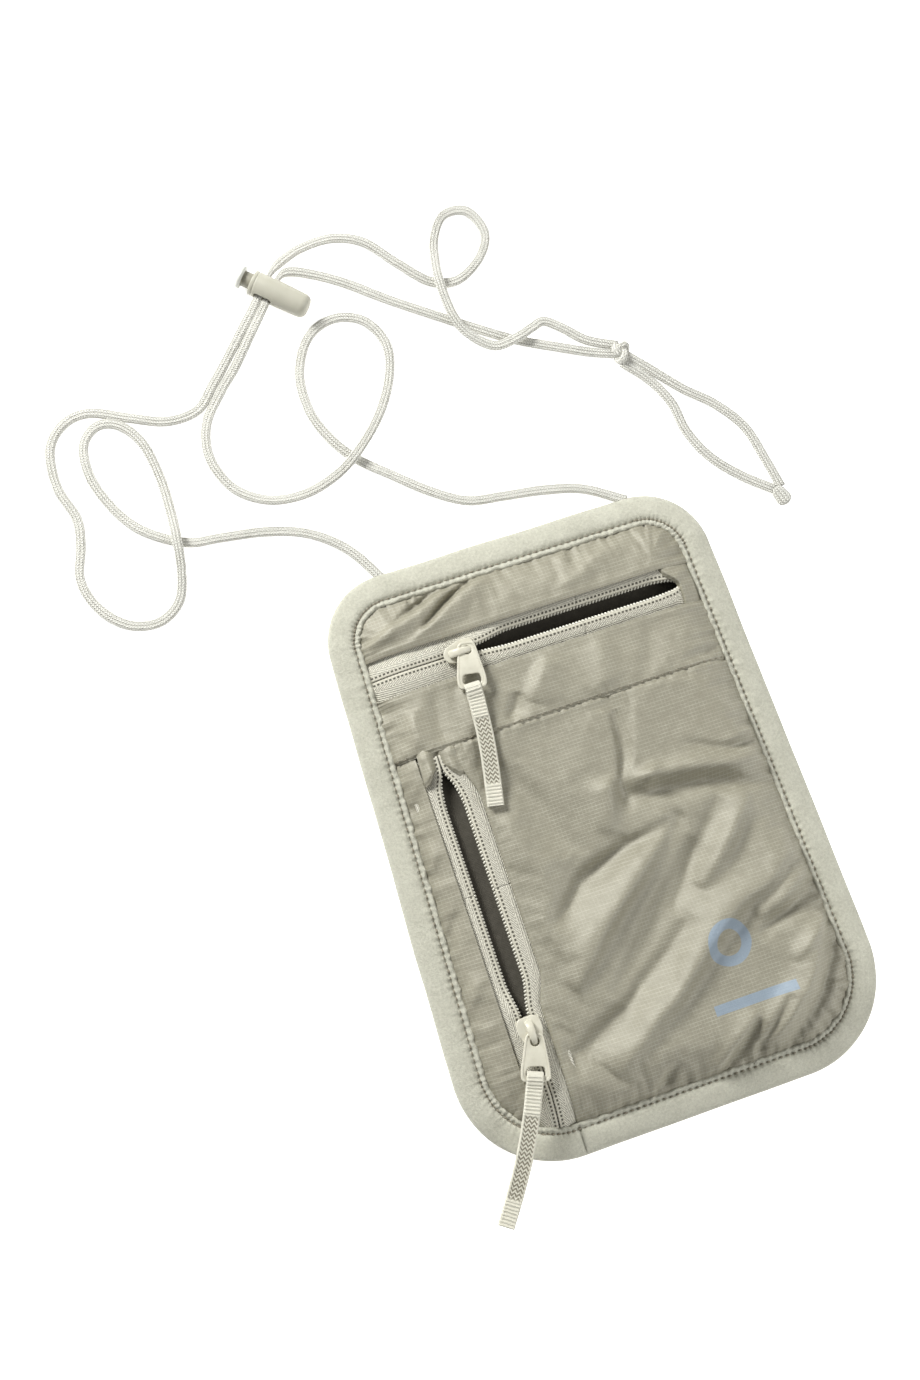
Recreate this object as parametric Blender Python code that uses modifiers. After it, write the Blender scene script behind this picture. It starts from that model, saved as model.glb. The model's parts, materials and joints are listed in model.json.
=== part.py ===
"""Neck pouch wallet, lying on its back with its cord spread out beyond its top edge.

+X is the right of the front as it is looked at, +Y runs to the top edge, where the cord leaves, and +Z comes
out of the front. The origin is the middle of the back face. Each sewn or moulded piece is its own object, GAP
apart from its neighbours. The zips are drawn part open, and each slider sits where its zip starts to open.
"""

import math
from dataclasses import dataclass

import bmesh
import bpy
from mathutils import Matrix, Vector

MM = 0.001
GAP = 0.3 * MM

# Pouch outline and stack
HEIGHT = 186 * MM
TOP_WIDTH = 123 * MM
FOOT_WIDTH = 138 * MM
TOP_RADIUS = 21 * MM
FOOT_RADIUS = 31 * MM
BINDING_WIDTH = 9 * MM
BINDING_THICKNESS = 4.6 * MM
BACK_THICKNESS = 1 * MM
FABRIC = 0.6 * MM
LINING = 0.4 * MM
EDGE_HEIGHT = 3.6 * MM  # of the front fabric where the binding grips it
FRONT_CROWN = 11.3 * MM  # of the front fabric over the filled pocket
ZIP_CROWN = 9.2 * MM  # of the front fabric beside the top zip
RAMP = 14 * MM  # distance from the binding in which the front reaches its crown
DIVIDER_HEIGHT = 6.1 * MM
DIVIDER_DROP = 1.7 * MM  # least distance from the front fabric's middle down to the divider's
DIVIDER_TURN = 8 * MM  # distance below the header seam in which the divider climbs to it

# Seams across the front
HEADER_SEAM = 35.5 * MM
TOP_ZIP_Y = 61.5 * MM
SIDE_ZIP_X = -41.5 * MM
SIDE_PANEL_FOOT = -80 * MM  # where the side panel ends in the binding's corner

# Zips
COIL_RADIUS = 0.8 * MM
COIL_REST = 0.95 * MM  # coil centre from the zip's line where it is closed
WEDGE = 0.95 * MM  # how far the slider's post pushes each coil aside
TAPE = 0.5 * MM
SLIDER_LENGTH = 10 * MM
SLIDER_WIDTH = 7.6 * MM
PLATE = 1 * MM
CHANNEL = 2.2 * MM  # between the slider's two plates
BAIL_RADIUS = 2.3 * MM
BAIL_WIRE = 0.55 * MM

# Fabric folds over the zips' open ends
FLAP_LEFT = 41 * MM
FLAP_RIGHT = 51.5 * MM
FLAP_BELOW = 5.5 * MM
FLAP_ABOVE = 4.5 * MM
FLAP_RISE = 1.7 * MM  # over the front fabric
FLAP_LEAST_HEIGHT = EDGE_HEIGHT + 2 * MM
GARAGE_HALF_WIDTH = 6 * MM
GARAGE_FOOT = 25 * MM
GARAGE_HEIGHT = 11.9 * MM

# Pull tabs and ribbons
TAB_LENGTH = 12.4 * MM
TAB_HEAD = 5.4 * MM
TAB_FOOT = 8.8 * MM
TAB_THICKNESS = 1 * MM
TAB_BAR = 1.5 * MM  # metal left below the ribbon slot
RIBBON_SLOT = 2.2 * MM
EYELET_INNER = 1.15 * MM
EYELET_WALL = 0.75 * MM
EYELET_WIDTH = 2 * MM
BAIL_HOLE = 2.6 * MM
HOLE_TO_HEAD = 2.1 * MM  # from the bail hole's middle to the tab's head
HOLE_TAB_SHORTER = 1.6 * MM  # than the eyelet tab, measured from the hole's middle
SIDE_TAB_DROP = 1 * MM  # of the side tab's plane over the bail's centre
RIBBON_WIDTH = 5 * MM
RIBBON_THICKNESS = 1.2 * MM
LOOP_INNER = 1.15 * MM
LOOP_WALL = 0.5 * MM

# Cord and cord lock
CORD_RADIUS = 1.25 * MM
CORD_PITCH = 2.8 * MM  # between the two strands inside the cord lock
LOCK_MOUTH = Vector((-48.5, 193.1, 4.05)) * MM
LOCK_DIRECTION = Vector((0.73, -0.683, 0)).normalized()  # from the mouth to the rounded end
LOCK_LENGTH = 19.3 * MM
LOCK_RADIUS = 4 * MM
LOCK_BORE = 2.9 * MM
LOCK_BORE_DEPTH = 16.4 * MM
LOCK_SLOT_START = 2.2 * MM
LOCK_SLOT_LENGTH = 5.9 * MM
LOCK_SLOT_HEIGHT = 3.7 * MM
PLUNGER_RADIUS = 2.75 * MM
PLUNGER_OUT = 3.4 * MM
PLUNGER_IN = 9.9 * MM
PLUNGER_SLOT_START = 0.35 * MM
PLUNGER_SLOT_LENGTH = 7.85 * MM
BUTTON_RADIUS = 3.9 * MM
BUTTON_THICKNESS = 1.1 * MM
SPRING_RADIUS = 1.9 * MM
SPRING_WIRE = 0.3 * MM
SPRING_TURNS = 5
KNOT_CENTRE = Vector((55.9, 138.3, 2.4)) * MM
KNOT_SEMI_AXES = Vector((2.2, 3.65, 2.3)) * MM
KNOT_TURN = math.radians(-18)
TIP_CENTRE = Vector((89.4, 79.2, 2.1)) * MM
TIP_RADIUS = 2 * MM

CORD_LIE = 1.3  # height in mm of a strand that lies on the table

# Routes in mm, (x, y) lying on the table or (x, y, z) where the strand is lifted.
LEFT_ROUTE = [
    (-40.5, 94.2, 1.5), (-46, 103.5), (-56, 112), (-68, 116.6), (-82, 119), (-91, 120.2), (-98, 123.5),
    (-105.5, 129.5), (-111, 138), (-114.5, 149), (-113.5, 159), (-108, 163.7), (-101.5, 162.2), (-96.3, 155),
    (-94.3, 143), (-94.5, 131, 2.8), (-95.3, 122, 4.3), (-97, 112, 2.8), (-100.5, 103.8), (-108, 99.6),
    (-117, 101.6), (-124, 109), (-126.8, 119), (-123.5, 129.5), (-122.2, 138), (-125, 149), (-123.5, 161),
    (-117, 167.5), (-108.5, 168.4), (-98, 163.6), (-87, 159), (-77, 159.6), (-69.9, 166), (-63.8, 171.8, 1.8),
    (-55.3, 180.3, 3.7), (-51.8, 183.9, 3.75), (-48.4, 187.6, 3.75), (-43, 193.4, 3.75), (-38.4, 197, 2.4),
    (-30, 200.2), (-19.5, 200.4), (-10.5, 196.3), (-3, 187.3), (5.4, 178.2), (14, 176), (23, 181),
    (27.2, 188.5), (24, 196.8), (16.3, 197.6), (11, 191), (8.6, 182.5, 3), (7.8, 176.8, 4.3),
    (7.8, 170, 4.2), (8.5, 163.8, 4.3), (11.2, 157.8, 3.4), (18, 151.8, 2.8), (25.5, 151.9, 4.3),
    (31.5, 154, 2.8), (36, 155.2), (41, 151.3), (47, 145.4), (53.4, 141.9, 1.8),
]
RIGHT_ROUTE = [
    (38.5, 94.6, 1.5), (30, 100), (18, 103.4), (5, 105.4), (-6, 107.4), (-16, 113.6), (-26, 122.3),
    (-34.6, 130.2), (-40.6, 139), (-44, 149.5), (-43.2, 161.5), (-37, 171.8), (-27.5, 175.3), (-18.5, 171.8),
    (-14.3, 162.5), (-17, 151.8), (-24.5, 140.6, 2.4), (-35, 131, 4.3), (-43.5, 126.6, 2.4), (-54, 124.4),
    (-65, 126.1), (-74, 133), (-77.9, 144), (-75.5, 154.6), (-67.8, 163.6), (-61.8, 169.1, 1.8),
    (-53.3, 178.2, 3.7), (-49.8, 182, 3.75), (-46.4, 185.7, 3.75), (-40.9, 191.5, 3.75), (-36.6, 193.6, 2.4),
    (-29, 190.8), (-20, 185), (-8.5, 175.8), (3.6, 167), (13.5, 160), (25.5, 152), (38, 145.6), (47.5, 141),
    (52.7, 138.9, 1.8),
]
UPPER_TAIL_ROUTE = [
    (58.6, 135.4, 1.8), (63.5, 130.2), (71.4, 121.1), (79.5, 113.5), (86, 103.8), (88.8, 92),
    (90.2, 83.4, 1.8),
]
LOWER_TAIL_ROUTE = [
    (57, 132.9, 1.8), (62, 127), (66.2, 118), (67.6, 108), (72, 98), (79.5, 89.2), (87, 82.6, 1.8),
]


# Scene, materials and object helpers

def clear_scene():
    for obj in list(bpy.data.objects):
        bpy.data.objects.remove(obj, do_unlink=True)


def new_material(name, colour, roughness, metallic=0.0):
    material = bpy.data.materials.new(name)
    material.use_nodes = True
    shader = material.node_tree.nodes["Principled BSDF"]
    shader.inputs["Base Color"].default_value = (*colour, 1)
    shader.inputs["Roughness"].default_value = roughness
    shader.inputs["Metallic"].default_value = metallic
    material.diffuse_color = (*colour, 1)
    return material


def add_object(name, data, material, parent=None):
    obj = bpy.data.objects.new(name, data)
    if material:
        data.materials.append(material)
    bpy.context.scene.collection.objects.link(obj)
    obj.parent = parent
    return obj


def add_joint_empty(name, location, parent=None):
    """An empty on a joint's axis, which carries the pieces that the joint moves."""
    empty = bpy.data.objects.new(name, None)
    empty.empty_display_size = 5 * MM
    bpy.context.scene.collection.objects.link(empty)
    empty.parent = parent
    empty.location = location
    return empty


def mesh_from(bm, name):
    bmesh.ops.recalc_face_normals(bm, faces=bm.faces)
    mesh = bpy.data.meshes.new(name)
    bm.to_mesh(mesh)
    bm.free()
    return mesh


def block_mesh(name, size, centre=(0, 0, 0)):
    bm = bmesh.new()
    bmesh.ops.create_cube(bm, size=1, matrix=Matrix.Translation(centre) @ Matrix.Diagonal((*size, 1)))
    return mesh_from(bm, name)


def helper_collection():
    """The collection of Boolean operands, none of which is a sub-part."""
    name = "helpers"
    if name not in bpy.data.collections:
        collection = bpy.data.collections.new(name)
        collection.hide_render = True
        bpy.context.scene.collection.children.link(collection)
    return bpy.data.collections[name]


def combine(target, mesh, operation, matrix=None):
    """Joins mesh to target or cuts it away, with mesh in the target's own space."""
    helper = bpy.data.objects.new(f"{target.name}_helper", mesh)
    helper_collection().objects.link(helper)
    helper.hide_render = True
    helper.display_type = "WIRE"
    helper.parent = target
    if matrix:
        helper.matrix_local = matrix
    modifier = target.modifiers.new(operation.title(), "BOOLEAN")
    modifier.operation = operation
    modifier.solver = "EXACT"
    modifier.object = helper


def smooth(t):
    """0 below 0, 1 above 1 and a smooth step between them."""
    t = min(max(t, 0), 1)
    return t * t * (3 - 2 * t)


def mix(a, b, t):
    return a + (b - a) * t


def crowd_to_ends(t):
    """0 to 1, with even steps of t drawn towards both ends, where the fabric curves most."""
    return 0.5 - 0.5 * math.cos(math.pi * t)


# The pouch's outline and the height of its front

def corner_centre(inset, top):
    """The centre and radius of the outline's right-hand corner arc, this far inside the outer edge."""
    radius = (TOP_RADIUS if top else FOOT_RADIUS) - inset
    y = (1 if top else -1) * (HEIGHT / 2 - inset - radius)
    return straight_side(y, inset) - radius, y, radius


def straight_side(y, inset):
    share = 0.5 - y / HEIGHT
    return mix(TOP_WIDTH, FOOT_WIDTH, share) / 2 - inset


def half_width(y, inset):
    """Half the width of the rounded outline at height y."""
    x, corner_y, radius = corner_centre(inset, y > 0)
    past = abs(y) - abs(corner_y)
    if past <= 0:
        return straight_side(y, inset)
    return x + math.sqrt(max(radius**2 - past**2, 0))


def outline(inset, steps=9):
    """The rounded outline, counter-clockwise from the right-hand side."""
    points = []
    for quarter, (side, top) in enumerate(((1, True), (-1, True), (-1, False), (1, False))):
        x, y, radius = corner_centre(inset, top)
        for step in range(steps + 1):
            angle = (quarter + step / steps) * math.pi / 2
            points.append((side * x + radius * math.cos(angle), y + radius * math.sin(angle)))
    return points


def front_height(x, y):
    """The middle of the front fabric's thickness: it climbs from the binding to a level crown."""
    inner = BINDING_WIDTH + GAP
    inward = min(half_width(y, inner) - abs(x), HEIGHT / 2 - inner - abs(y))
    rise = 1 - (1 - min(max(inward, 0) / RAMP, 1)) ** 2
    crown = mix(FRONT_CROWN, ZIP_CROWN, smooth((y - HEADER_SEAM) / (TOP_ZIP_Y - HEADER_SEAM)))
    return EDGE_HEIGHT + (crown - EDGE_HEIGHT) * rise


def divider_height(x, y):
    """Level over the pouch, turned up under the header seam and down to the binding."""
    turned_up = smooth((y - HEADER_SEAM + DIVIDER_TURN) / DIVIDER_TURN)
    under_front = front_height(x, y) - DIVIDER_DROP
    return mix(min(DIVIDER_HEIGHT, under_front), under_front, turned_up)


def sheet(name, across, along, place, thickness, material, parent=None):
    """A closed shell on a grid. place(u, v) gives each point of its mid-surface, with u and v from 0 to 1."""
    bm = bmesh.new()
    bmesh.ops.create_grid(bm, x_segments=across, y_segments=along, size=0.5)
    for vertex in bm.verts:
        vertex.co = place(vertex.co.x + 0.5, vertex.co.y + 0.5)
    obj = add_object(name, mesh_from(bm, name), material, parent)
    solidify = obj.modifiers.new("Solidify", "SOLIDIFY")
    solidify.thickness = thickness
    solidify.offset = 0
    return obj


def panel(name, low, high, left, right, grid, thickness, material, height=front_height):
    """Fabric between heights low and high, and between the sides left(y) and right(y)."""

    def place(u, v):
        y = mix(low, high, crowd_to_ends(v))
        x = mix(left(y), right(y), crowd_to_ends(u))
        return Vector((x, y, height(x, y)))

    return sheet(name, *grid, place, thickness, material)


# Zips

@dataclass
class Zip:
    """A zip's line. along points from the slider towards the open end, and across to its first lip."""

    slider: Vector
    along: Vector
    across: Vector
    closed: float
    open: float

    def point(self, s, offset, height):
        flat = self.slider + self.along * s + self.across * offset
        return Vector((flat.x, flat.y, height))

    def wedge(self, s):
        """0 where the coils mesh, 1 past the slider's post and 0 again at the open end."""
        return smooth((s + 4 * MM) / (5 * MM)) * (1 - smooth((s - self.open + 9 * MM) / (8 * MM)))

    def bow(self, s):
        """0 at the slider, 1 along the open mouth and 0 again at its end."""
        return smooth((s - 5 * MM) / (12 * MM)) * (1 - smooth((s - self.open + 16 * MM) / (14 * MM)))


@dataclass
class Lip:
    """One side of a zip. side is 1 or -1, seam its fabric's edge and the rest how far its open part moves."""

    side: int
    seam: float
    seam_bow: float
    coil_bow: float
    lift: float

    def coil_offset(self, line, s):
        return COIL_REST + WEDGE * line.wedge(s) + self.coil_bow * line.bow(s)

    def seam_offset(self, line, s):
        return self.seam + self.seam_bow * line.bow(s)


TOP_ZIP = Zip(
    slider=Vector((-25 * MM, TOP_ZIP_Y, 9 * MM)),
    along=Vector((1, 0, 0)),
    across=Vector((0, 1, 0)),
    closed=28 * MM,
    open=78 * MM,
)
SIDE_ZIP = Zip(
    slider=Vector((SIDE_ZIP_X, -53 * MM, 10.6 * MM)),
    along=Vector((0, 1, 0)),
    across=Vector((1, 0, 0)),
    closed=27.5 * MM,
    open=86 * MM,
)
UPPER_LIP = Lip(side=1, seam=5.9 * MM, seam_bow=0, coil_bow=1.6 * MM, lift=-1.6 * MM)
LOWER_LIP = Lip(side=-1, seam=6.5 * MM, seam_bow=0, coil_bow=0.8 * MM, lift=0.6 * MM)
RIGHT_LIP = Lip(side=1, seam=5.3 * MM, seam_bow=3.2 * MM, coil_bow=2 * MM, lift=0.4 * MM)
LEFT_LIP = Lip(side=-1, seam=6.5 * MM, seam_bow=0, coil_bow=1.2 * MM, lift=-1.6 * MM)


def lip_height(line, lip, s, offset):
    """The coil keeps to the slider's height, bar its lift and the dip into the binding at the zip's ends."""
    flat = line.point(s, lip.side * offset, 0)
    return min(line.slider.z, front_height(flat.x, flat.y)) + lip.lift * line.bow(s)


def add_coil(name, line, lip, material):
    steps = 34
    stations = [mix(-line.closed, line.open, step / steps) for step in range(steps + 1)]
    points = []
    for s in stations:
        offset = lip.coil_offset(line, s)
        points.append(line.point(s, lip.side * offset, lip_height(line, lip, s, offset)))
    return tube(name, points, COIL_RADIUS, material)


def add_tape(name, line, lip, material):
    def place(u, v):
        s = mix(-line.closed, line.open, u)
        inner = lip.coil_offset(line, s) + COIL_RADIUS + GAP
        outer = lip.seam_offset(line, s) - GAP
        offset = mix(inner, outer, v)
        flat = line.point(s, lip.side * offset, 0)
        coil = lip_height(line, lip, s, lip.coil_offset(line, s))
        fabric = min(front_height(flat.x, flat.y), line.slider.z + 0.4 * MM)
        return Vector((flat.x, flat.y, mix(coil, fabric, v)))

    return sheet(name, 34, 2, place, TAPE, material)


def tube(name, points, radius, material, parent=None):
    """A round tube with filled ends through these points."""
    curve = bpy.data.curves.new(name, "CURVE")
    curve.dimensions = "3D"
    curve.bevel_depth = radius
    curve.bevel_resolution = 2
    curve.use_fill_caps = True
    spline = curve.splines.new("POLY")
    spline.points.add(len(points) - 1)
    for target, point in zip(spline.points, points):
        target.co = (*point, 1)
    return add_object(name, curve, material, parent)


def arch_mesh(name):
    """Half a ring of wire in the XZ plane, standing on z = 0."""
    bm = bmesh.new()
    disc = Matrix.Translation((BAIL_RADIUS, 0, 0))
    bmesh.ops.create_circle(bm, cap_ends=True, segments=10, radius=BAIL_WIRE, matrix=disc)
    everything = bm.verts[:] + bm.edges[:] + bm.faces[:]
    bmesh.ops.spin(bm, geom=everything, cent=(0, 0, 0), axis=(0, -1, 0), angle=math.pi, steps=12)
    return mesh_from(bm, name)


def add_slider(name, joint, turn, material):
    """Two plates joined by a post at the open end, with a bail on top. +X is the opening direction."""
    plate_size = (SLIDER_LENGTH, SLIDER_WIDTH, PLATE)
    level = (CHANNEL + PLATE) / 2
    slider = add_object(name, block_mesh(name, plate_size, (0, 0, level)), material, joint)
    slider.rotation_euler.z = turn
    combine(slider, block_mesh("lower_plate", plate_size, (0, 0, -level)), "UNION")
    post = block_mesh("post", (1.6 * MM, 1.3 * MM, CHANNEL + PLATE), (2.4 * MM, 0, 0))
    combine(slider, post, "UNION")
    combine(slider, arch_mesh("bail"), "UNION", Matrix.Translation((0, 0, bail_base())))
    bevel = slider.modifiers.new("Bevel", "BEVEL")
    bevel.width = 0.25 * MM
    bevel.segments = 1
    bevel.angle_limit = math.radians(60)
    return slider


def bail_base():
    """Height of the bail's centre over the zip's line."""
    return CHANNEL / 2 + PLATE + 0.1 * MM - GAP


def tab_outline(start, end, head, foot):
    """A plate that widens from head to foot along -Y."""
    return [(-head / 2, -start), (head / 2, -start), (foot / 2, -end), (-foot / 2, -end)]


def plate_mesh(name, corners, thickness):
    bm = bmesh.new()
    face = bm.faces.new([bm.verts.new((x, y, -thickness / 2)) for x, y in corners])
    extruded = bmesh.ops.extrude_face_region(bm, geom=[face])
    raised = [item for item in extruded["geom"] if isinstance(item, bmesh.types.BMVert)]
    bmesh.ops.translate(bm, verts=raised, vec=(0, 0, thickness))
    return mesh_from(bm, name)


def ring_mesh(name, inner, wall, width):
    """A short pipe along X, round a bore of radius inner."""
    bm = bmesh.new()
    end = Matrix.Translation((-width / 2, 0, 0)) @ Matrix.Rotation(math.pi / 2, 4, "Y")
    for radius in (inner, inner + wall):
        bmesh.ops.create_circle(bm, segments=16, radius=radius, matrix=end)
    bmesh.ops.bridge_loops(bm, edges=bm.edges[:])
    extruded = bmesh.ops.extrude_face_region(bm, geom=bm.faces[:])
    moved = [item for item in extruded["geom"] if isinstance(item, bmesh.types.BMVert)]
    bmesh.ops.translate(bm, verts=moved, vec=(width, 0, 0))
    return mesh_from(bm, name)


def cut_ribbon_slot(tab, end):
    slot = (RIBBON_WIDTH + 2 * GAP, RIBBON_SLOT, 3 * TAB_THICKNESS)
    centre = (0, -(end - TAB_BAR - slot[1] / 2), 0)
    combine(tab, block_mesh("ribbon_slot", slot, centre), "DIFFERENCE")


def add_eyelet_tab(name, joint, material):
    """A tab whose eyelet turns on top of the bail, hanging across the zip. The joint is the eyelet's axis."""
    corners = tab_outline(EYELET_INNER + EYELET_WALL / 2, TAB_LENGTH, TAB_HEAD, TAB_FOOT)
    tab = add_object(name, plate_mesh(name, corners, TAB_THICKNESS), material, joint)
    combine(tab, ring_mesh("eyelet", EYELET_INNER, EYELET_WALL, EYELET_WIDTH), "UNION")
    cut_ribbon_slot(tab, TAB_LENGTH)
    return tab


def add_hole_tab(name, joint, drop, material):
    """A tab lying along the zip, whose hole holds the bail's leg. The joint is the middle of the bail's ring."""
    hole_at = math.sqrt(BAIL_RADIUS**2 - drop**2)
    end = hole_at + TAB_LENGTH - HOLE_TAB_SHORTER
    corners = tab_outline(hole_at - HOLE_TO_HEAD, end, TAB_HEAD, TAB_FOOT)
    tab = add_object(name, plate_mesh(name, corners, TAB_THICKNESS), material, joint)
    tab.location.z = drop
    hole = (BAIL_HOLE, BAIL_HOLE, 3 * TAB_THICKNESS)
    combine(tab, block_mesh("bail_hole", hole, (0, -hole_at, 0)), "DIFFERENCE")
    cut_ribbon_slot(tab, end)
    return tab, end


def add_ribbon(name, joint, route, material):
    """A doubled ribbon looped round a tab's end bar. route is its centre line in mm from the joint."""
    points = smooth_route([Vector((x, y, 0)) * MM for x, y in route], longest=3 * MM)
    last = len(points) - 1

    def place(u, v):
        at = round(v * last)
        along = (points[min(at + 1, last)] - points[max(at - 1, 0)]).normalized()
        sideways = Vector((-along.y, along.x, 0))
        return points[at] + sideways * mix(-0.5, 0.5, u) * RIBBON_WIDTH

    ribbon = sheet(name, 1, last, place, RIBBON_THICKNESS, material, joint)
    combine(ribbon, ring_mesh("ribbon_loop", LOOP_INNER, LOOP_WALL, RIBBON_WIDTH), "UNION")
    return ribbon


# Sub-parts

def build_pouch(cloth, binding_cloth, lining):
    inner = BINDING_WIDTH + GAP

    back_curve = bpy.data.curves.new("back_panel", "CURVE")
    back_curve.dimensions = "2D"
    back_curve.fill_mode = "BOTH"
    back_curve.extrude = BACK_THICKNESS / 2
    add_flat_spline(back_curve, outline(inner))
    back = add_object("back_panel", back_curve, cloth)
    back.location.z = BACK_THICKNESS / 2

    profile = bpy.data.curves.new("binding_profile", "CURVE")
    profile.dimensions = "2D"
    add_flat_spline(profile, oval(BINDING_WIDTH / 2, BINDING_THICKNESS / 2)[::-1])
    profile_object = bpy.data.objects.new("binding_profile", profile)
    helper_collection().objects.link(profile_object)
    profile_object.hide_render = True
    ring = bpy.data.curves.new("edge_binding", "CURVE")
    ring.dimensions = "3D"
    ring.bevel_mode = "OBJECT"
    ring.bevel_object = profile_object
    add_flat_spline(ring, outline(BINDING_WIDTH / 2))
    binding = add_object("edge_binding", ring, binding_cloth)
    binding.location.z = BINDING_THICKNESS / 2

    def left_edge(y):
        return -half_width(y, inner)

    def right_edge(y):
        return half_width(y, inner)

    def main_edge(y):
        s = y - SIDE_ZIP.slider.y
        return SIDE_ZIP_X + RIGHT_LIP.seam_offset(SIDE_ZIP, s)

    def side_edge(y):
        return SIDE_ZIP_X - LEFT_LIP.seam

    bottom = -HEIGHT / 2 + inner
    top = HEIGHT / 2 - inner
    under_header = HEADER_SEAM - GAP / 2
    over_header = HEADER_SEAM + GAP / 2
    zip_foot = TOP_ZIP_Y - LOWER_LIP.seam
    zip_head = TOP_ZIP_Y + UPPER_LIP.seam
    panel("front_panel", bottom, under_header, main_edge, right_edge, (20, 26), FABRIC, cloth)
    panel("side_panel", SIDE_PANEL_FOOT, under_header, left_edge, side_edge, (4, 26), FABRIC, cloth)
    panel("header_strip", over_header, zip_foot, left_edge, right_edge, (24, 4), FABRIC, cloth)
    panel("top_panel", zip_head, top, left_edge, right_edge, (24, 6), FABRIC, cloth)
    divider_sides = (left_edge, right_edge)
    panel("divider_lining", bottom, under_header, *divider_sides, (20, 26), LINING, lining, divider_height)


def add_flat_spline(curve, points):
    spline = curve.splines.new("POLY")
    spline.points.add(len(points) - 1)
    for target, (x, y) in zip(spline.points, points):
        target.co = (x, y, 0, 1)
    spline.use_cyclic_u = True


def oval(half_x, half_y, steps=12):
    """A rounded section, flatter than an ellipse on its long sides."""
    points = []
    for step in range(steps):
        angle = 2 * math.pi * step / steps
        c, s = math.cos(angle), math.sin(angle)
        points.append((half_x * math.copysign(abs(c) ** 0.7, c), half_y * math.copysign(abs(s) ** 0.7, s)))
    return points


def build_zips(tape, coil):
    for zip_name, line, lips in (
        ("top_zip", TOP_ZIP, (("upper", UPPER_LIP), ("lower", LOWER_LIP))),
        ("side_zip", SIDE_ZIP, (("right", RIGHT_LIP), ("left", LEFT_LIP))),
    ):
        for lip_name, lip in lips:
            add_tape(f"{zip_name}_{lip_name}_tape", line, lip, tape)
            add_coil(f"{zip_name}_{lip_name}_coil", line, lip, coil)


def build_zip_ends(cloth):
    """The fabric folds that cover each zip's open end."""

    def place_flap(u, v):
        x = mix(FLAP_LEFT, FLAP_RIGHT, u)
        y = mix(TOP_ZIP_Y - FLAP_BELOW, TOP_ZIP_Y + FLAP_ABOVE, v)
        return Vector((x, y, max(front_height(x, y) + FLAP_RISE, FLAP_LEAST_HEIGHT)))

    def place_garage(u, v):
        x = SIDE_ZIP_X + mix(-GARAGE_HALF_WIDTH, GARAGE_HALF_WIDTH, u)
        y = mix(GARAGE_FOOT, HEADER_SEAM - GAP, v)
        return Vector((x, y, GARAGE_HEIGHT))

    sheet("top_zip_end_flap", 4, 4, place_flap, FABRIC, cloth)
    sheet("side_zip_garage", 4, 3, place_garage, FABRIC, cloth)


def build_top_pull(metal, ribbon_cloth):
    slider_joint = add_joint_empty("top_slider_joint", TOP_ZIP.slider)
    add_slider("top_slider", slider_joint, 0, metal)
    tab_joint = add_joint_empty("top_tab_joint", (0, 0, bail_base() + BAIL_RADIUS), slider_joint)
    add_eyelet_tab("top_pull_tab", tab_joint, metal)
    bar = TAB_LENGTH - TAB_BAR / 2
    ribbon_joint = add_joint_empty("top_ribbon_joint", (0, -bar, 0), tab_joint)
    route = [(0, -1.35), (0, -3), (-0.3, -7), (-0.9, -14), (-1.9, -21), (-3.2, -28), (-4.8, -36)]
    add_ribbon("top_pull_ribbon", ribbon_joint, route, ribbon_cloth)


def build_side_pull(metal, ribbon_cloth):
    slider_joint = add_joint_empty("side_slider_joint", SIDE_ZIP.slider)
    add_slider("side_slider", slider_joint, math.pi / 2, metal)
    tab_joint = add_joint_empty("side_tab_joint", (0, 0, bail_base()), slider_joint)
    _, end = add_hole_tab("side_pull_tab", tab_joint, SIDE_TAB_DROP, metal)
    ribbon_joint = add_joint_empty("side_ribbon_joint", (0, TAB_BAR / 2 - end, SIDE_TAB_DROP), tab_joint)
    route = [(0, -1.35), (0, -3), (-3, -9), (-8, -16), (-13.4, -23.5), (-19.4, -31.5), (-25, -38.5)]
    add_ribbon("side_pull_ribbon", ribbon_joint, route, ribbon_cloth)


def turned(name, profile, material, joint, segments=20):
    """A solid turned about its joint's X axis from (along, radius) points that start and end on the axis."""
    bm = bmesh.new()
    vertices = [bm.verts.new((along, 0, radius)) for along, radius in profile]
    for start, end in zip(vertices, vertices[1:]):
        bm.edges.new((start, end))
    obj = add_object(name, mesh_from(bm, name), material, joint)
    screw = obj.modifiers.new("Screw", "SCREW")
    screw.axis = "X"
    screw.steps = segments
    screw.render_steps = segments
    screw.use_merge_vertices = True
    screw.merge_threshold = 0.01 * MM
    screw.use_normal_calculate = True
    return obj


def lock_matrix():
    """From the cord lock's own space, +X into the barrel from its mouth, to the world."""
    sideways = Vector((0, 0, 1)).cross(LOCK_DIRECTION)
    turn = Matrix((LOCK_DIRECTION, sideways, Vector((0, 0, 1)))).transposed()
    return Matrix.Translation(LOCK_MOUTH) @ turn.to_4x4()


def cut_cord_slot(obj, start, length):
    """The slot that the two strands pass through, along the piece's own Y."""
    slot = (length, 4 * LOCK_RADIUS, LOCK_SLOT_HEIGHT)
    combine(obj, block_mesh("cord_slot", slot, (start + length / 2, 0, 0)), "DIFFERENCE")


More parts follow.
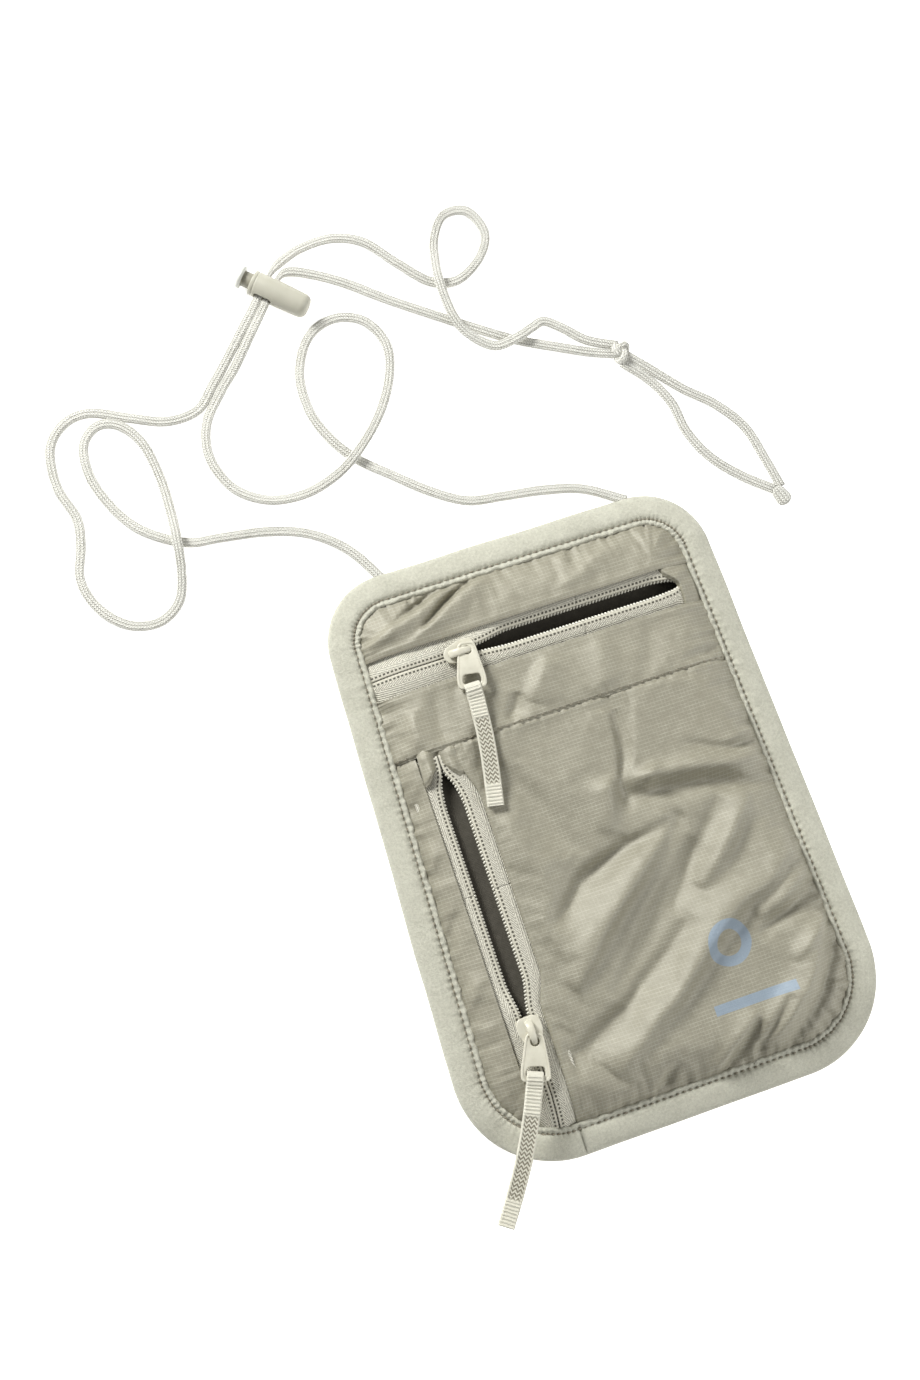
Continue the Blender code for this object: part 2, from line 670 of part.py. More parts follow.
def build_cord_lock(barrel_plastic, button_plastic, steel):
    joint = add_joint_empty("toggle_joint", (0, 0, 0))
    joint.matrix_world = lock_matrix()

    shoulder = LOCK_LENGTH - LOCK_RADIUS * 0.8
    dome = []
    for step in range(1, 6):
        angle = step / 5 * math.pi / 2
        dome.append((shoulder + 0.8 * LOCK_RADIUS * math.sin(angle), LOCK_RADIUS * math.cos(angle)))
    rim = LOCK_RADIUS - 0.3 * MM
    bored = [(LOCK_BORE_DEPTH, 0), (LOCK_BORE_DEPTH, LOCK_BORE), (0, LOCK_BORE), (0, rim), (GAP, LOCK_RADIUS)]
    barrel = turned("toggle_barrel", bored + [(shoulder, LOCK_RADIUS)] + dome, barrel_plastic, joint)
    cut_cord_slot(barrel, LOCK_SLOT_START, LOCK_SLOT_LENGTH)

    button_back = -PLUNGER_OUT - BUTTON_THICKNESS
    stem = [
        (button_back, 0), (button_back, BUTTON_RADIUS - 0.4 * MM), (button_back + 0.4 * MM, BUTTON_RADIUS),
        (-PLUNGER_OUT, BUTTON_RADIUS), (-PLUNGER_OUT, PLUNGER_RADIUS), (PLUNGER_IN, PLUNGER_RADIUS),
        (PLUNGER_IN, 0),
    ]
    plunger = turned("toggle_plunger", stem, button_plastic, joint)
    cut_cord_slot(plunger, PLUNGER_SLOT_START, PLUNGER_SLOT_LENGTH)

    start = PLUNGER_IN + GAP + SPRING_WIRE
    end = LOCK_BORE_DEPTH - GAP - SPRING_WIRE
    per_turn = 12
    coil = []
    for step in range(SPRING_TURNS * per_turn + 1):
        angle = 2 * math.pi * step / per_turn
        along = mix(start, end, step / (SPRING_TURNS * per_turn))
        coil.append((along, SPRING_RADIUS * math.cos(angle), SPRING_RADIUS * math.sin(angle)))
    tube("toggle_spring", coil, SPRING_WIRE, steel, joint)


def build_cord(cord):
    routes = (
        ("cord_left", LEFT_ROUTE),
        ("cord_right", RIGHT_ROUTE),
        ("cord_tail_upper", UPPER_TAIL_ROUTE),
        ("cord_tail_lower", LOWER_TAIL_ROUTE),
    )
    for name, route in routes:
        points = [Vector((*point[:2], point[2] if len(point) > 2 else CORD_LIE)) * MM for point in route]
        tube(name, smooth_route(points), CORD_RADIUS, cord)


def smooth_route(points, longest=9 * MM):
    """The route's points, with more between them on a Catmull-Rom curve wherever they are far apart."""
    padded = [2 * points[0] - points[1], *points, 2 * points[-1] - points[-2]]
    found = []
    for before, start, end, after in zip(padded, padded[1:], padded[2:], padded[3:]):
        pieces = max(round((end - start).length / longest), 1)
        for piece in range(pieces):
            t = piece / pieces
            found.append(
                0.5 * (2 * start + (end - before) * t + (2 * before - 5 * start + 4 * end - after) * t**2
                       + (3 * start - before - 3 * end + after) * t**3)
            )
    return [*found, points[-1]]


def ball(name, centre, semi_axes, turn, material):
    bm = bmesh.new()
    bmesh.ops.create_uvsphere(bm, u_segments=14, v_segments=8, radius=1)
    obj = add_object(name, mesh_from(bm, name), material)
    obj.location = centre
    obj.scale = semi_axes
    obj.rotation_euler.z = turn
    return obj


def main():
    clear_scene()
    cloth = new_material("ripstop_cloth", (0.52, 0.49, 0.38), 0.8)
    binding_cloth = new_material("binding_cloth", (0.61, 0.60, 0.51), 0.9)
    lining = new_material("lining_cloth", (0.30, 0.28, 0.22), 0.85)
    tape = new_material("zip_tape", (0.49, 0.45, 0.34), 0.85)
    coil = new_material("zip_coil", (0.60, 0.57, 0.47), 0.45)
    metal = new_material("lacquered_metal", (0.60, 0.57, 0.47), 0.35)
    ribbon_cloth = new_material("ribbon_weave", (0.73, 0.70, 0.59), 0.85)
    cord = new_material("braided_cord", (0.76, 0.74, 0.66), 0.85)
    barrel_plastic = new_material("barrel_plastic", (0.60, 0.58, 0.49), 0.45)
    button_plastic = new_material("button_plastic", (0.85, 0.85, 0.80), 0.4)
    steel = new_material("spring_steel", (0.6, 0.6, 0.6), 0.3, 1.0)

    build_pouch(cloth, binding_cloth, lining)
    build_zips(tape, coil)
    build_zip_ends(cloth)
    build_top_pull(metal, ribbon_cloth)
    build_side_pull(metal, ribbon_cloth)
    build_cord_lock(barrel_plastic, button_plastic, steel)
    build_cord(cord)
    ball("cord_knot", KNOT_CENTRE, KNOT_SEMI_AXES, KNOT_TURN, cord)
    ball("cord_tip", TIP_CENTRE, Vector((TIP_RADIUS, TIP_RADIUS, TIP_RADIUS)), 0, cord)


main()
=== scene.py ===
"""Looks for the neck pouch wallet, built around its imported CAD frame.

Lengths are in mm until a mesh is made. +X is the right of the front, +Y runs to the top edge and +Z
comes out of the front, as in the CAD. The outline, the zips, the lock and the cord's routes repeat
the CAD's own numbers.
"""

import json
import math
from dataclasses import dataclass

import bmesh
import bpy
import numpy as np
from mathutils import Matrix, Vector, noise
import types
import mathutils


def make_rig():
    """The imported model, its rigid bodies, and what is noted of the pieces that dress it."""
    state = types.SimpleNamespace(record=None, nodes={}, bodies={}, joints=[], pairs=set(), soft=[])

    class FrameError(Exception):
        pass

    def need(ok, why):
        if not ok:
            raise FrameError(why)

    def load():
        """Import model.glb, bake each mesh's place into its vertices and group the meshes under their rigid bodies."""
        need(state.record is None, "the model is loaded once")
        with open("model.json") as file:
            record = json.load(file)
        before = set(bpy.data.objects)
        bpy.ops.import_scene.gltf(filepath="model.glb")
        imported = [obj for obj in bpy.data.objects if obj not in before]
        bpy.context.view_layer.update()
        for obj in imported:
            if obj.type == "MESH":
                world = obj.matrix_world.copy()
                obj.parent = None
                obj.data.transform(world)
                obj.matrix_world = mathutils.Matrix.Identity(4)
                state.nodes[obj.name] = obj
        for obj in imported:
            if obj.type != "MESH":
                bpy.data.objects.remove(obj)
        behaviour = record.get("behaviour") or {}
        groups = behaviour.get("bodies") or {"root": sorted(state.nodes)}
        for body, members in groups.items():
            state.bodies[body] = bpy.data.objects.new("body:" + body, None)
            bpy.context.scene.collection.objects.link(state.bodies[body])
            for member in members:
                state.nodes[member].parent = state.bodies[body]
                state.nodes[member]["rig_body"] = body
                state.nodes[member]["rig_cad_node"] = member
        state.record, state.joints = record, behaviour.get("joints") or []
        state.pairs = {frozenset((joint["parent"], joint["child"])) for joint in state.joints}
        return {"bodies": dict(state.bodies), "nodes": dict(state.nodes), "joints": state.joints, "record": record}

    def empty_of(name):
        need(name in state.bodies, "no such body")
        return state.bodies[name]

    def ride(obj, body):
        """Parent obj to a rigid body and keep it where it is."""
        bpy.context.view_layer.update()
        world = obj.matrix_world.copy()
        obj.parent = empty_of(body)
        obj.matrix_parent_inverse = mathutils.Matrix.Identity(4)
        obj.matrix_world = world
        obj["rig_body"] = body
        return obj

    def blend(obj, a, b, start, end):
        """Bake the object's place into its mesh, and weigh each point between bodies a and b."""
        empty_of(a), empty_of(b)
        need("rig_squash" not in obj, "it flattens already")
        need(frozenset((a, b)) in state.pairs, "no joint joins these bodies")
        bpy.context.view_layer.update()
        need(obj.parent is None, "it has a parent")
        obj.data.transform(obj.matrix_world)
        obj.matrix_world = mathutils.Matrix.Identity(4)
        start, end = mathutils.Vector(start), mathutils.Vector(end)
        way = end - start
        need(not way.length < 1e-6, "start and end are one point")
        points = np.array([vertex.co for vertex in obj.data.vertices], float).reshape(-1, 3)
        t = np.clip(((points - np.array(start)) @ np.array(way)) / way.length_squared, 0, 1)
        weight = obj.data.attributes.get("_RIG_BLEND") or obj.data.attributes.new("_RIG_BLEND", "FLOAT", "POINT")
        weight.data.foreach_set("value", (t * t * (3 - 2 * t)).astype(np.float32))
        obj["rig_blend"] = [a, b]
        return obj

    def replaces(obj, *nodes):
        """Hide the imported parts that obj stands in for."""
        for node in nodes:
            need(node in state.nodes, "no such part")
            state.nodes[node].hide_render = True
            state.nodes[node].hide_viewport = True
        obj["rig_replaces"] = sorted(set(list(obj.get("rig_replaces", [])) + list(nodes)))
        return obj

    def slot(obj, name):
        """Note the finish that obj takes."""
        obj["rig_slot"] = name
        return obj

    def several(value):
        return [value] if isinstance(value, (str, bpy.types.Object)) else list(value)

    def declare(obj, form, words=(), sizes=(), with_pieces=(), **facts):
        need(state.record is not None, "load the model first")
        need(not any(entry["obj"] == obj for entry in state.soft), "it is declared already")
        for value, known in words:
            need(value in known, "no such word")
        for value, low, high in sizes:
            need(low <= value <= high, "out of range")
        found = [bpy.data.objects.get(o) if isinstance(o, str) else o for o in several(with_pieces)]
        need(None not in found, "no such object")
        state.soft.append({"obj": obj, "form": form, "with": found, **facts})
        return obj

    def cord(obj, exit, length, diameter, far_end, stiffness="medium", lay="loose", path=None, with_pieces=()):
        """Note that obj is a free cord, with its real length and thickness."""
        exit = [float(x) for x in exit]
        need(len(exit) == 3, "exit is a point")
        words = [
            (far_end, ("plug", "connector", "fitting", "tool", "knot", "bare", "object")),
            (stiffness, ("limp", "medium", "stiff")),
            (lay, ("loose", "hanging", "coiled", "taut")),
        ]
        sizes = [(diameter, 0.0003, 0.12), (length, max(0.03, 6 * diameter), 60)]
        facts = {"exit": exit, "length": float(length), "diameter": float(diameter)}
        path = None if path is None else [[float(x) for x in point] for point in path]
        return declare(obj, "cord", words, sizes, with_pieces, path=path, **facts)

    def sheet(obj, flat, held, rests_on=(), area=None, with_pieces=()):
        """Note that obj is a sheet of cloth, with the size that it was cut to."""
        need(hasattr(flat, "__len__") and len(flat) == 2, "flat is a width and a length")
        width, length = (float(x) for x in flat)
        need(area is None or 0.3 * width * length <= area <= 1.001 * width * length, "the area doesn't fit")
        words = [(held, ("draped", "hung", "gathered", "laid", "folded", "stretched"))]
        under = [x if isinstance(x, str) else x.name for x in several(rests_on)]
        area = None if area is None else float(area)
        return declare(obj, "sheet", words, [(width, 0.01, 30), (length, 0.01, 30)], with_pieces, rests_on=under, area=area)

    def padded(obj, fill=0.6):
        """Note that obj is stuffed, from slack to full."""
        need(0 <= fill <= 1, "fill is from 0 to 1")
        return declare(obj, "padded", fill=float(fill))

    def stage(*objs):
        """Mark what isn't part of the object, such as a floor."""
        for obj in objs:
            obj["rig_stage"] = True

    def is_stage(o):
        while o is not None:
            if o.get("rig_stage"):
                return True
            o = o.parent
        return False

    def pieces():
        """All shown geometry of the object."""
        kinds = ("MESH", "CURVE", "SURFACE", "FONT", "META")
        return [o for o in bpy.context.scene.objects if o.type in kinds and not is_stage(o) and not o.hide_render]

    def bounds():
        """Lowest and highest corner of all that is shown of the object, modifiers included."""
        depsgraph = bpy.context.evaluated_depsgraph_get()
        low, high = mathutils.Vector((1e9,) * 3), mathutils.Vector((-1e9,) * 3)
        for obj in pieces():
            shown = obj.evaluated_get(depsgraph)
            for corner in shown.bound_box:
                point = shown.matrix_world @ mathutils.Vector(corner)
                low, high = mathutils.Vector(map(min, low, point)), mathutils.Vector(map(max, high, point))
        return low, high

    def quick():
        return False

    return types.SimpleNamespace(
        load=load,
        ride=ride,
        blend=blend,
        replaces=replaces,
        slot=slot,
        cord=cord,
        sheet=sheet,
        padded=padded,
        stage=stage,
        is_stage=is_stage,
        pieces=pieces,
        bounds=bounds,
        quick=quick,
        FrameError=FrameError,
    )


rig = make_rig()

MM = 0.001

# The pouch, as in the CAD
HEIGHT = 186
TOP_WIDTH = 123
FOOT_WIDTH = 138
TOP_RADIUS = 21
FOOT_RADIUS = 31
BINDING_WIDTH = 9
EDGE_HEIGHT = 3.6
FRONT_CROWN = 11.3
ZIP_CROWN = 9.2
RAMP = 14  # how far in from the binding the front reaches its crown
FABRIC = 0.5
HEADER_SEAM = 35.5
TOP_ZIP_Y = 61.5
SIDE_ZIP_X = -41.5
SIDE_PANEL_FOOT = -80
GAP = 0.3
INNER = BINDING_WIDTH + GAP
FOOT = -HEIGHT / 2 + INNER
TOP = HEIGHT / 2 - INNER

# Cord routes, as in the CAD. z is CORD_LIE where a point has none
LEFT_ROUTE = [
    (-40.5, 94.2, 1.5), (-46, 103.5), (-56, 112), (-68, 116.6), (-82, 119), (-91, 120.2), (-98, 123.5),
    (-105.5, 129.5), (-111, 138), (-114.5, 149), (-113.5, 159), (-108, 163.7), (-101.5, 162.2), (-96.3, 155),
    (-94.3, 143), (-94.5, 131, 2.8), (-95.3, 122, 4.3), (-97, 112, 2.8), (-100.5, 103.8), (-108, 99.6),
    (-117, 101.6), (-124, 109), (-126.8, 119), (-123.5, 129.5), (-122.2, 138), (-125, 149), (-123.5, 161),
    (-117, 167.5), (-108.5, 168.4), (-98, 163.6), (-87, 159), (-77, 159.6), (-69.9, 166), (-63.8, 171.8, 1.8),
    (-55.3, 180.3, 3.7), (-51.8, 183.9, 3.75), (-48.4, 187.6, 3.75), (-43, 193.4, 3.75), (-38.4, 197, 2.4),
    (-30, 200.2), (-19.5, 200.4), (-10.5, 196.3), (-3, 187.3), (5.4, 178.2), (14, 176), (23, 181),
    (27.2, 188.5), (24, 196.8), (16.3, 197.6), (11, 191), (8.6, 182.5, 3), (7.8, 176.8, 4.3), (7.8, 170, 4.2),
    (8.5, 163.8, 4.3), (11.2, 157.8, 3.4), (18, 151.8, 2.8), (25.5, 151.9, 4.3), (31.5, 154, 2.8),
    (36, 155.2), (41, 151.3), (47, 145.4), (53.4, 141.9, 1.8),
]
RIGHT_ROUTE = [
    (38.5, 94.6, 1.5), (30, 100), (18, 103.4), (5, 105.4), (-6, 107.4), (-16, 113.6), (-26, 122.3),
    (-34.6, 130.2), (-40.6, 139), (-44, 149.5), (-43.2, 161.5), (-37, 171.8), (-27.5, 175.3), (-18.5, 171.8),
    (-14.3, 162.5), (-17, 151.8), (-24.5, 140.6, 2.4), (-35, 131, 4.3), (-43.5, 126.6, 2.4), (-54, 124.4),
    (-65, 126.1), (-74, 133), (-77.9, 144), (-75.5, 154.6), (-67.8, 163.6), (-61.8, 169.1, 1.8),
    (-53.3, 178.2, 3.7), (-49.8, 182, 3.75), (-46.4, 185.7, 3.75), (-40.9, 191.5, 3.75), (-36.6, 193.6, 2.4),
    (-29, 190.8), (-20, 185), (-8.5, 175.8), (3.6, 167), (13.5, 160), (25.5, 152), (38, 145.6), (47.5, 141),
    (52.7, 138.9, 1.8),
]
UPPER_TAIL_ROUTE = [
    (58.6, 135.4, 1.8), (63.5, 130.2), (71.4, 121.1), (79.5, 113.5), (86, 103.8), (88.8, 92),
    (90.2, 83.4, 1.8),
]
LOWER_TAIL_ROUTE = [
    (57, 132.9, 1.8), (62, 127), (66.2, 118), (67.6, 108), (72, 98), (79.5, 89.2), (87, 82.6, 1.8),
]
CORD_LIE = 1.3
CORD_WIDTH = 3.1
CORD_THICKNESS = 1.9
CORD_STEP = 0.8
KNOT_CENTRE = (55.9, 138.3, 2.4)
KNOT_TURN = math.radians(-18)
TIP_CENTRE = (89.4, 79.2, 2.1)

# Cord lock, as in the CAD: +X of its own space runs into the barrel from its mouth
LOCK_MOUTH = (-48.5, 193.1, 4.05)
LOCK_DIRECTION = Vector((0.73, -0.683, 0)).normalized()
LOCK_LENGTH = 19.3
LOCK_RADIUS = 4.0
LOCK_BORE = 2.9
LOCK_BORE_DEPTH = 16.4
LOCK_SLOT = (2.2, 8.1)
LOCK_SLOT_HALF_HEIGHT = 1.85
PLUNGER_OUT = 3.4

# Looks
TOP_TAB_SWING = math.radians(-10)
SIDE_TAB_SWING = math.radians(-17)
FOLD_END = 0.3  # how much of its last stretch a fold runs on for as it dies out
FOLD_DEPTH = 1.25  # the folds' listed heights are scaled by this
RIBBON_CLEARANCE = 11.5  # the folds stay about this low where the top ribbon passes over them
SEAM_UNDER = 1.6  # how far a panel runs on under the header strip
TAPE_UNDER = 4.2  # how far a zip's tape runs on under the panel beside it
TAPE_IN_BINDING = 2.6  # how far it runs on under the binding at the zip's closed end
COIL_REST = 0.95  # from a closed zip's middle to the middle of its coil
COIL_PITCH = 1.05
BINDING_STEP = 0.42
STITCH_PITCH = 2.1
BINDING_JOIN = (-36, -93)  # where the binding's two ends meet
SIMULATED_SIZE = 20.0  # the cloth solver is steadier on a sheet of a few metres
MARK_CENTRE = (23.7, -46.9)


def mix(a, b, t):
    return a + (b - a) * t


def smooth(t):
    t = np.clip(t, 0, 1)
    return t * t * (3 - 2 * t)


def bell(distance, width):
    return np.exp(-((distance / width) ** 2))


def unit(vectors):
    return vectors / np.linalg.norm(vectors, axis=-1, keepdims=True)


def round_turn(steps):
    """The angles of even steps round a full turn."""
    return np.arange(steps) / steps * 2 * math.pi


def run_along(path):
    """How far along its path each point lies."""
    return np.concatenate([[0], np.cumsum(np.linalg.norm(np.diff(path, axis=0), axis=1))])


def resample(path, spacing, closed=False):
    """The path in even steps. A closed path's last point repeats its first, and the result leaves it out."""
    run = run_along(path)
    steps = max(round(run[-1] / spacing), 2)
    stations = np.linspace(0, run[-1], steps if closed else steps + 1, endpoint=not closed)
    return np.stack([np.interp(stations, run, values) for values in path.T], axis=1)


def noise_at(*coordinates):
    """Smooth noise from -1 to 1 at each point of arrays of the same shape."""
    arrays = np.broadcast_arrays(*coordinates, *[0.0] * (3 - len(coordinates)))
    flat = np.stack([array.ravel() for array in arrays], axis=1)
    return np.array([noise.noise(point) for point in flat.tolist()]).reshape(arrays[0].shape)


# The pouch's outline and surface


def straight_side(y, inset):
    return mix(TOP_WIDTH, FOOT_WIDTH, 0.5 - y / HEIGHT) / 2 - inset


def half_width(y, inset=INNER):
    y = np.asarray(y, float)
    radius = np.where(y > 0, TOP_RADIUS, FOOT_RADIUS) - inset
    corner_y = np.sign(y) * (HEIGHT / 2 - inset - radius)
    past = np.maximum(np.abs(y) - np.abs(corner_y), 0)
    rounded = straight_side(corner_y, inset) - radius + np.sqrt(np.maximum(radius**2 - past**2, 0))
    return np.where(past > 0, rounded, straight_side(y, inset))


def left_seam(y):
    return -half_width(y)


def outline(inset, spacing):
    """The rounded outline, counter-clockwise from the right-hand side, in even steps."""
    points = []
    for quarter, (side, top) in enumerate(((1, True), (-1, True), (-1, False), (1, False))):
        radius = (TOP_RADIUS if top else FOOT_RADIUS) - inset
        y = (HEIGHT / 2 - inset - radius) * (1 if top else -1)
        x = straight_side(y, inset) - radius
        for angle in np.linspace(quarter, quarter + 1, 40) * math.pi / 2:
            points.append((side * x + radius * math.cos(angle), y + radius * math.sin(angle)))
    return resample(np.array([*points, points[0]]), spacing, closed=True)


SEAM_LINE = outline(INNER, 1)


def inward_of(x, y):
    """(distance in from the binding's seam, distance round the seam to the nearest point of it)."""
    x, y = np.broadcast_arrays(np.asarray(x, float), np.asarray(y, float))
    found, along = [], []
    for part in np.array_split(np.stack([x.ravel(), y.ravel()], axis=1), x.size // 4000 + 1):
        squared = ((part[:, None] - SEAM_LINE[None]) ** 2).sum(axis=2)
        found.append(np.sqrt(squared.min(axis=1)))
        along.append(squared.argmin(axis=1))
    outside = (np.abs(x) > half_width(y)) | (np.abs(y) > TOP)
    inward = np.where(outside, 0, np.concatenate(found).reshape(x.shape))
    return inward, np.concatenate(along).astype(float).reshape(x.shape)


def front_height(x, y):
    """The front fabric's level before its folds."""
    inward, _ = inward_of(x, y)
    rise = 1 - (1 - np.clip(inward / RAMP, 0, 1)) ** 2
    crown = mix(FRONT_CROWN, ZIP_CROWN, smooth((y - HEADER_SEAM) / (TOP_ZIP_Y - HEADER_SEAM)))
    return EDGE_HEIGHT + (crown - EDGE_HEIGHT) * rise


# (line, height, width on its left, width on its right), each line running up or to the right.
# A negative height makes a valley
MAIN_FOLDS = [
    ([(-21, -41), (-6.7, -27.3), (14.3, -10.6)], 3.6, 6.6, 3.2),
    ([(-22, -24), (-12.2, -15.5), (4.1, -9.3), (19.7, -7.5)], -2.4, 2.6, 4.5),
    ([(-10, -47), (6, -32), (20, -18)], -2.0, 3, 6),
    ([(-15.9, -69.1), (2.9, -56.3), (24.3, -39.9), (48.3, -28.4)], 3.9, 7, 3.4),
    ([(-31, -63.5), (-8.3, -53.8), (10.3, -39.7)], -2.2, 2.8, 6),
    ([(24, -26), (34.7, -17.2), (43, -8)], 2.8, 5, 2.8),
    ([(14, -30), (24, -17), (33, -8)], -1.6, 2.4, 5),
    ([(29.1, -76.9), (41.2, -67.2), (52.5, -52.8)], 3.2, 5.2, 2.2),
    ([(36, -79), (47, -70), (55, -60)], -1.9, 2, 2.6),
    ([(12.5, -83), (21.8, -74.5)], -2.0, 1.7, 2.4),
    ([(2, 2), (8.1, 23)], 2.2, 5, 3.4),
    ([(9, 5), (13, 23)], -1.6, 2.2, 3.4),
    ([(17.6, 8), (24, 26)], 2.3, 4.6, 3),
    ([(13, 9.3), (31.7, 6.7), (52, 3.4)], 2.0, 4.4, 2.6),
    ([(13.6, 4), (34, 1), (50, -3.6)], -1.9, 2.2, 4),
    ([(34, 17), (46, 12), (54, 10.5)], 1.5, 3.4, 2),
    ([(33, 13), (45, 8.4), (54, 7.6)], -1.3, 1.8, 2.6),
    ([(-10.1, -81.6), (-4.5, -77.2)], -1.7, 1.5, 2.2),
    ([(39, -41), (53.8, -34.6)], 2.1, 3.6, 2.2),
    ([(38, -46), (55.3, -40.3)], -1.6, 1.8, 3),
    ([(44, -56), (56, -49)], 1.6, 2.8, 1.8),
    ([(24.1, -79.4), (33.1, -70.9)], -1.9, 1.5, 2.4),
    ([(8.9, -81.7), (21.1, -72.2)], 1.9, 3.2, 1.8),
    ([(-33, 12), (-25, -8), (-25, -30)], 1.6, 7, 5),
    ([(-29, 30), (-18, 12), (-14, -2)], -1.2, 3.5, 6),
    ([(26, 34), (46, 20)], 1.2, 5, 3.5),
]
HEADER_FOLDS = [
    ([(-46.3, 37.6), (-45.2, 46.2)], 1.3, 2.4, 3),
    ([(-38, 38), (-37, 50)], -0.9, 2.4, 2.8),
    ([(-28.5, 37.1), (-27.6, 47.7)], 1.3, 2.4, 3.5),
    ([(-16.5, 36.1), (-13, 42)], -1.7, 2.2, 2.6),
    ([(-6.7, 42.7), (0, 51.4)], 1.5, 2.6, 5),
    ([(42.2, 37.9), (51.7, 38.5)], -1.1, 2, 2),
    ([(14, 38), (17, 52)], 0.8, 4, 4),
    ([(28, 38), (33, 50)], -0.6, 3, 4),
]
TOP_FOLDS = [
    ([(-50, 71.8), (-26.1, 80.2)], 1.7, 1.6, 3),
    ([(-37, 78), (-23.6, 84.5)], -1.9, 1.2, 1.5),
    ([(-34, 70.5), (-12.9, 81)], 1.9, 1.5, 4.2),
    ([(-29, 75.2), (-13.2, 83.4)], -1.9, 1.1, 1.3),
    ([(14, 72), (30, 79)], 1.0, 2.5, 4),
]
SIDE_FOLDS = [
    ([(-57, -40), (-50, -34)], 1.2, 3, 2),
    ([(-56, -20), (-50, -13)], -1.1, 2, 3),
    ([(-55, 2), (-49, 7)], 1.1, 3, 2),
    ([(-54, 20), (-49, 24)], -0.9, 2, 3),
    ([(-53, -62), (-50, 26)], 0.6, 3, 3),
]


def fold(x, y, line, height, left, right):
    """A ridge along line that dies out at both ends of it."""
    nearest = np.full(np.shape(x), 1e9)
    width = np.ones(np.shape(x))
    position = np.zeros(np.shape(x))
    run = 0.0
    ends = [np.array(point, float) for point in line]
    ends[0] -= (ends[1] - ends[0]) * FOLD_END
    ends[-1] += (ends[-1] - ends[-2]) * FOLD_END
    for (x0, y0), (x1, y1) in zip(ends, ends[1:]):
        dx, dy = x1 - x0, y1 - y0
        t = np.clip(((x - x0) * dx + (y - y0) * dy) / (dx * dx + dy * dy), 0, 1)
        from_x, from_y = x - (x0 + t * dx), y - (y0 + t * dy)
        distance = np.hypot(from_x, from_y)
        on_left = dx * from_y - dy * from_x > 0
        width = np.where(distance < nearest, np.where(on_left, left, right), width)
        position = np.where(distance < nearest, run + t * math.hypot(dx, dy), position)
        nearest = np.minimum(nearest, distance)
        run += math.hypot(dx, dy)
    body = np.sin(np.clip(position / run, 0, 1) * math.pi) ** 0.5
    return height * body * np.exp(-((nearest / width / (0.6 + 0.4 * body)) ** 2))


def seam_pucker(distance, along, seed, size, reach, pitch=1.9):
    """Short folds that run in from a line of stitches, and stay level beyond it."""
    distance = np.maximum(distance, 0)
    waves = noise_at(along / pitch, distance / 9, seed)
    waves = waves + 0.8 * noise_at(along / pitch / 2.4, distance / 14, seed + 9)
    return size * waves * np.exp(-distance / reach)


def hem(from_edge, size):
    """The ridge that a turned-under edge makes a little way in from it."""
    return size * bell(from_edge - 1.3, 1.2)


def folded_height(x, y, folds, seed, crumple, from_zip):
    """The front fabric with its folds, its slack and the puckers beside the binding's stitches."""
    inward, along = inward_of(x, y)
    kept = smooth(inward / 3.6) * smooth((np.abs(y - HEADER_SEAM) + 0.8) / 5.5)
    kept = kept * mix(0.12, 1, smooth(from_zip / 6))
    sway_x, sway_y = (0.9 * noise_at(x / 12, y / 12, seed + shift) for shift in (13, 17))
    shape = FOLD_DEPTH * sum(fold(x + sway_x, y + sway_y, *each) for each in folds)
    slack = 1.0 * noise_at(x / 23, y / 28, seed) + 0.28 * noise_at(x / 9, y / 10, seed + 4)
    fine = 0.09 * noise_at(x / 2.7, y / 2.7, seed + 7)
    pulled = seam_pucker(inward, along, seed, 0.95, 5.0)
    pulled = pulled + smooth(inward / 2) * seam_pucker(inward, along, seed + 50, 0.8, 7, 2.6)
    return front_height(x, y) + kept * (shape + crumple * (slack + fine)) + pulled


# Zips


@dataclass
class Zip:
    """A zip's line in the frame. along points from the slider to its open end, across to its first lip."""

    slider: tuple
    along: tuple
    across: tuple
    closed: float
    open: float

    def flat(self, s, offset):
        return tuple(self.slider[i] + self.along[i] * s + self.across[i] * offset for i in (0, 1))

    def wedge(self, s):
        """How far open the zip is at s, from 0 to 1, opening at once beyond the slider."""
        return smooth((s + 4) / 5) * (1 - smooth((s - self.open + 9) / 8))

    def bow(self, s):
        """How far the lips bow apart at s, from 0 to 1, most in the middle."""
        return smooth((s - 5) / 12) * (1 - smooth((s - self.open + 16) / 14))


@dataclass
class Lip:
    """One side of a zip: its body, its nodes, where its panel starts, and how far its open part moves."""

    body: str
    nodes: str
    side: int
    seam: float
    seam_bow: float
    coil_bow: float
    lift: float

    def seam_at(self, line, s):
        return self.seam + self.seam_bow * line.bow(s)

    def coil_at(self, line, s):
        return COIL_REST + COIL_REST * line.wedge(s) + self.coil_bow * line.bow(s)

    def height(self, line, s, offset):
        x, y = line.flat(s, self.side * offset)
        return np.minimum(line.slider[2], front_height(x, y)) + self.lift * line.bow(s)


TOP_ZIP = Zip((-25, TOP_ZIP_Y, 9), (1, 0), (0, 1), 28, 78)
SIDE_ZIP = Zip((SIDE_ZIP_X, -53, 10.6), (0, 1), (1, 0), 27.5, 86)
UPPER_LIP = Lip("top_upper_lip", "top_zip_upper", 1, 5.9, 0, 1.6, -1.6)
LOWER_LIP = Lip("top_lower_lip", "top_zip_lower", -1, 6.5, 0, 0.8, 0.6)
RIGHT_LIP = Lip("side_right_lip", "side_zip_right", 1, 5.3, 3.2, 2, 0.4)
LEFT_LIP = Lip("side_left_lip", "side_zip_left", -1, 6.5, 0, 1.2, -1.6)
TOP_EDGE = TOP_ZIP_Y + UPPER_LIP.seam
HEADER_EDGE = TOP_ZIP_Y - LOWER_LIP.seam
SIDE_EDGE = SIDE_ZIP_X - LEFT_LIP.seam


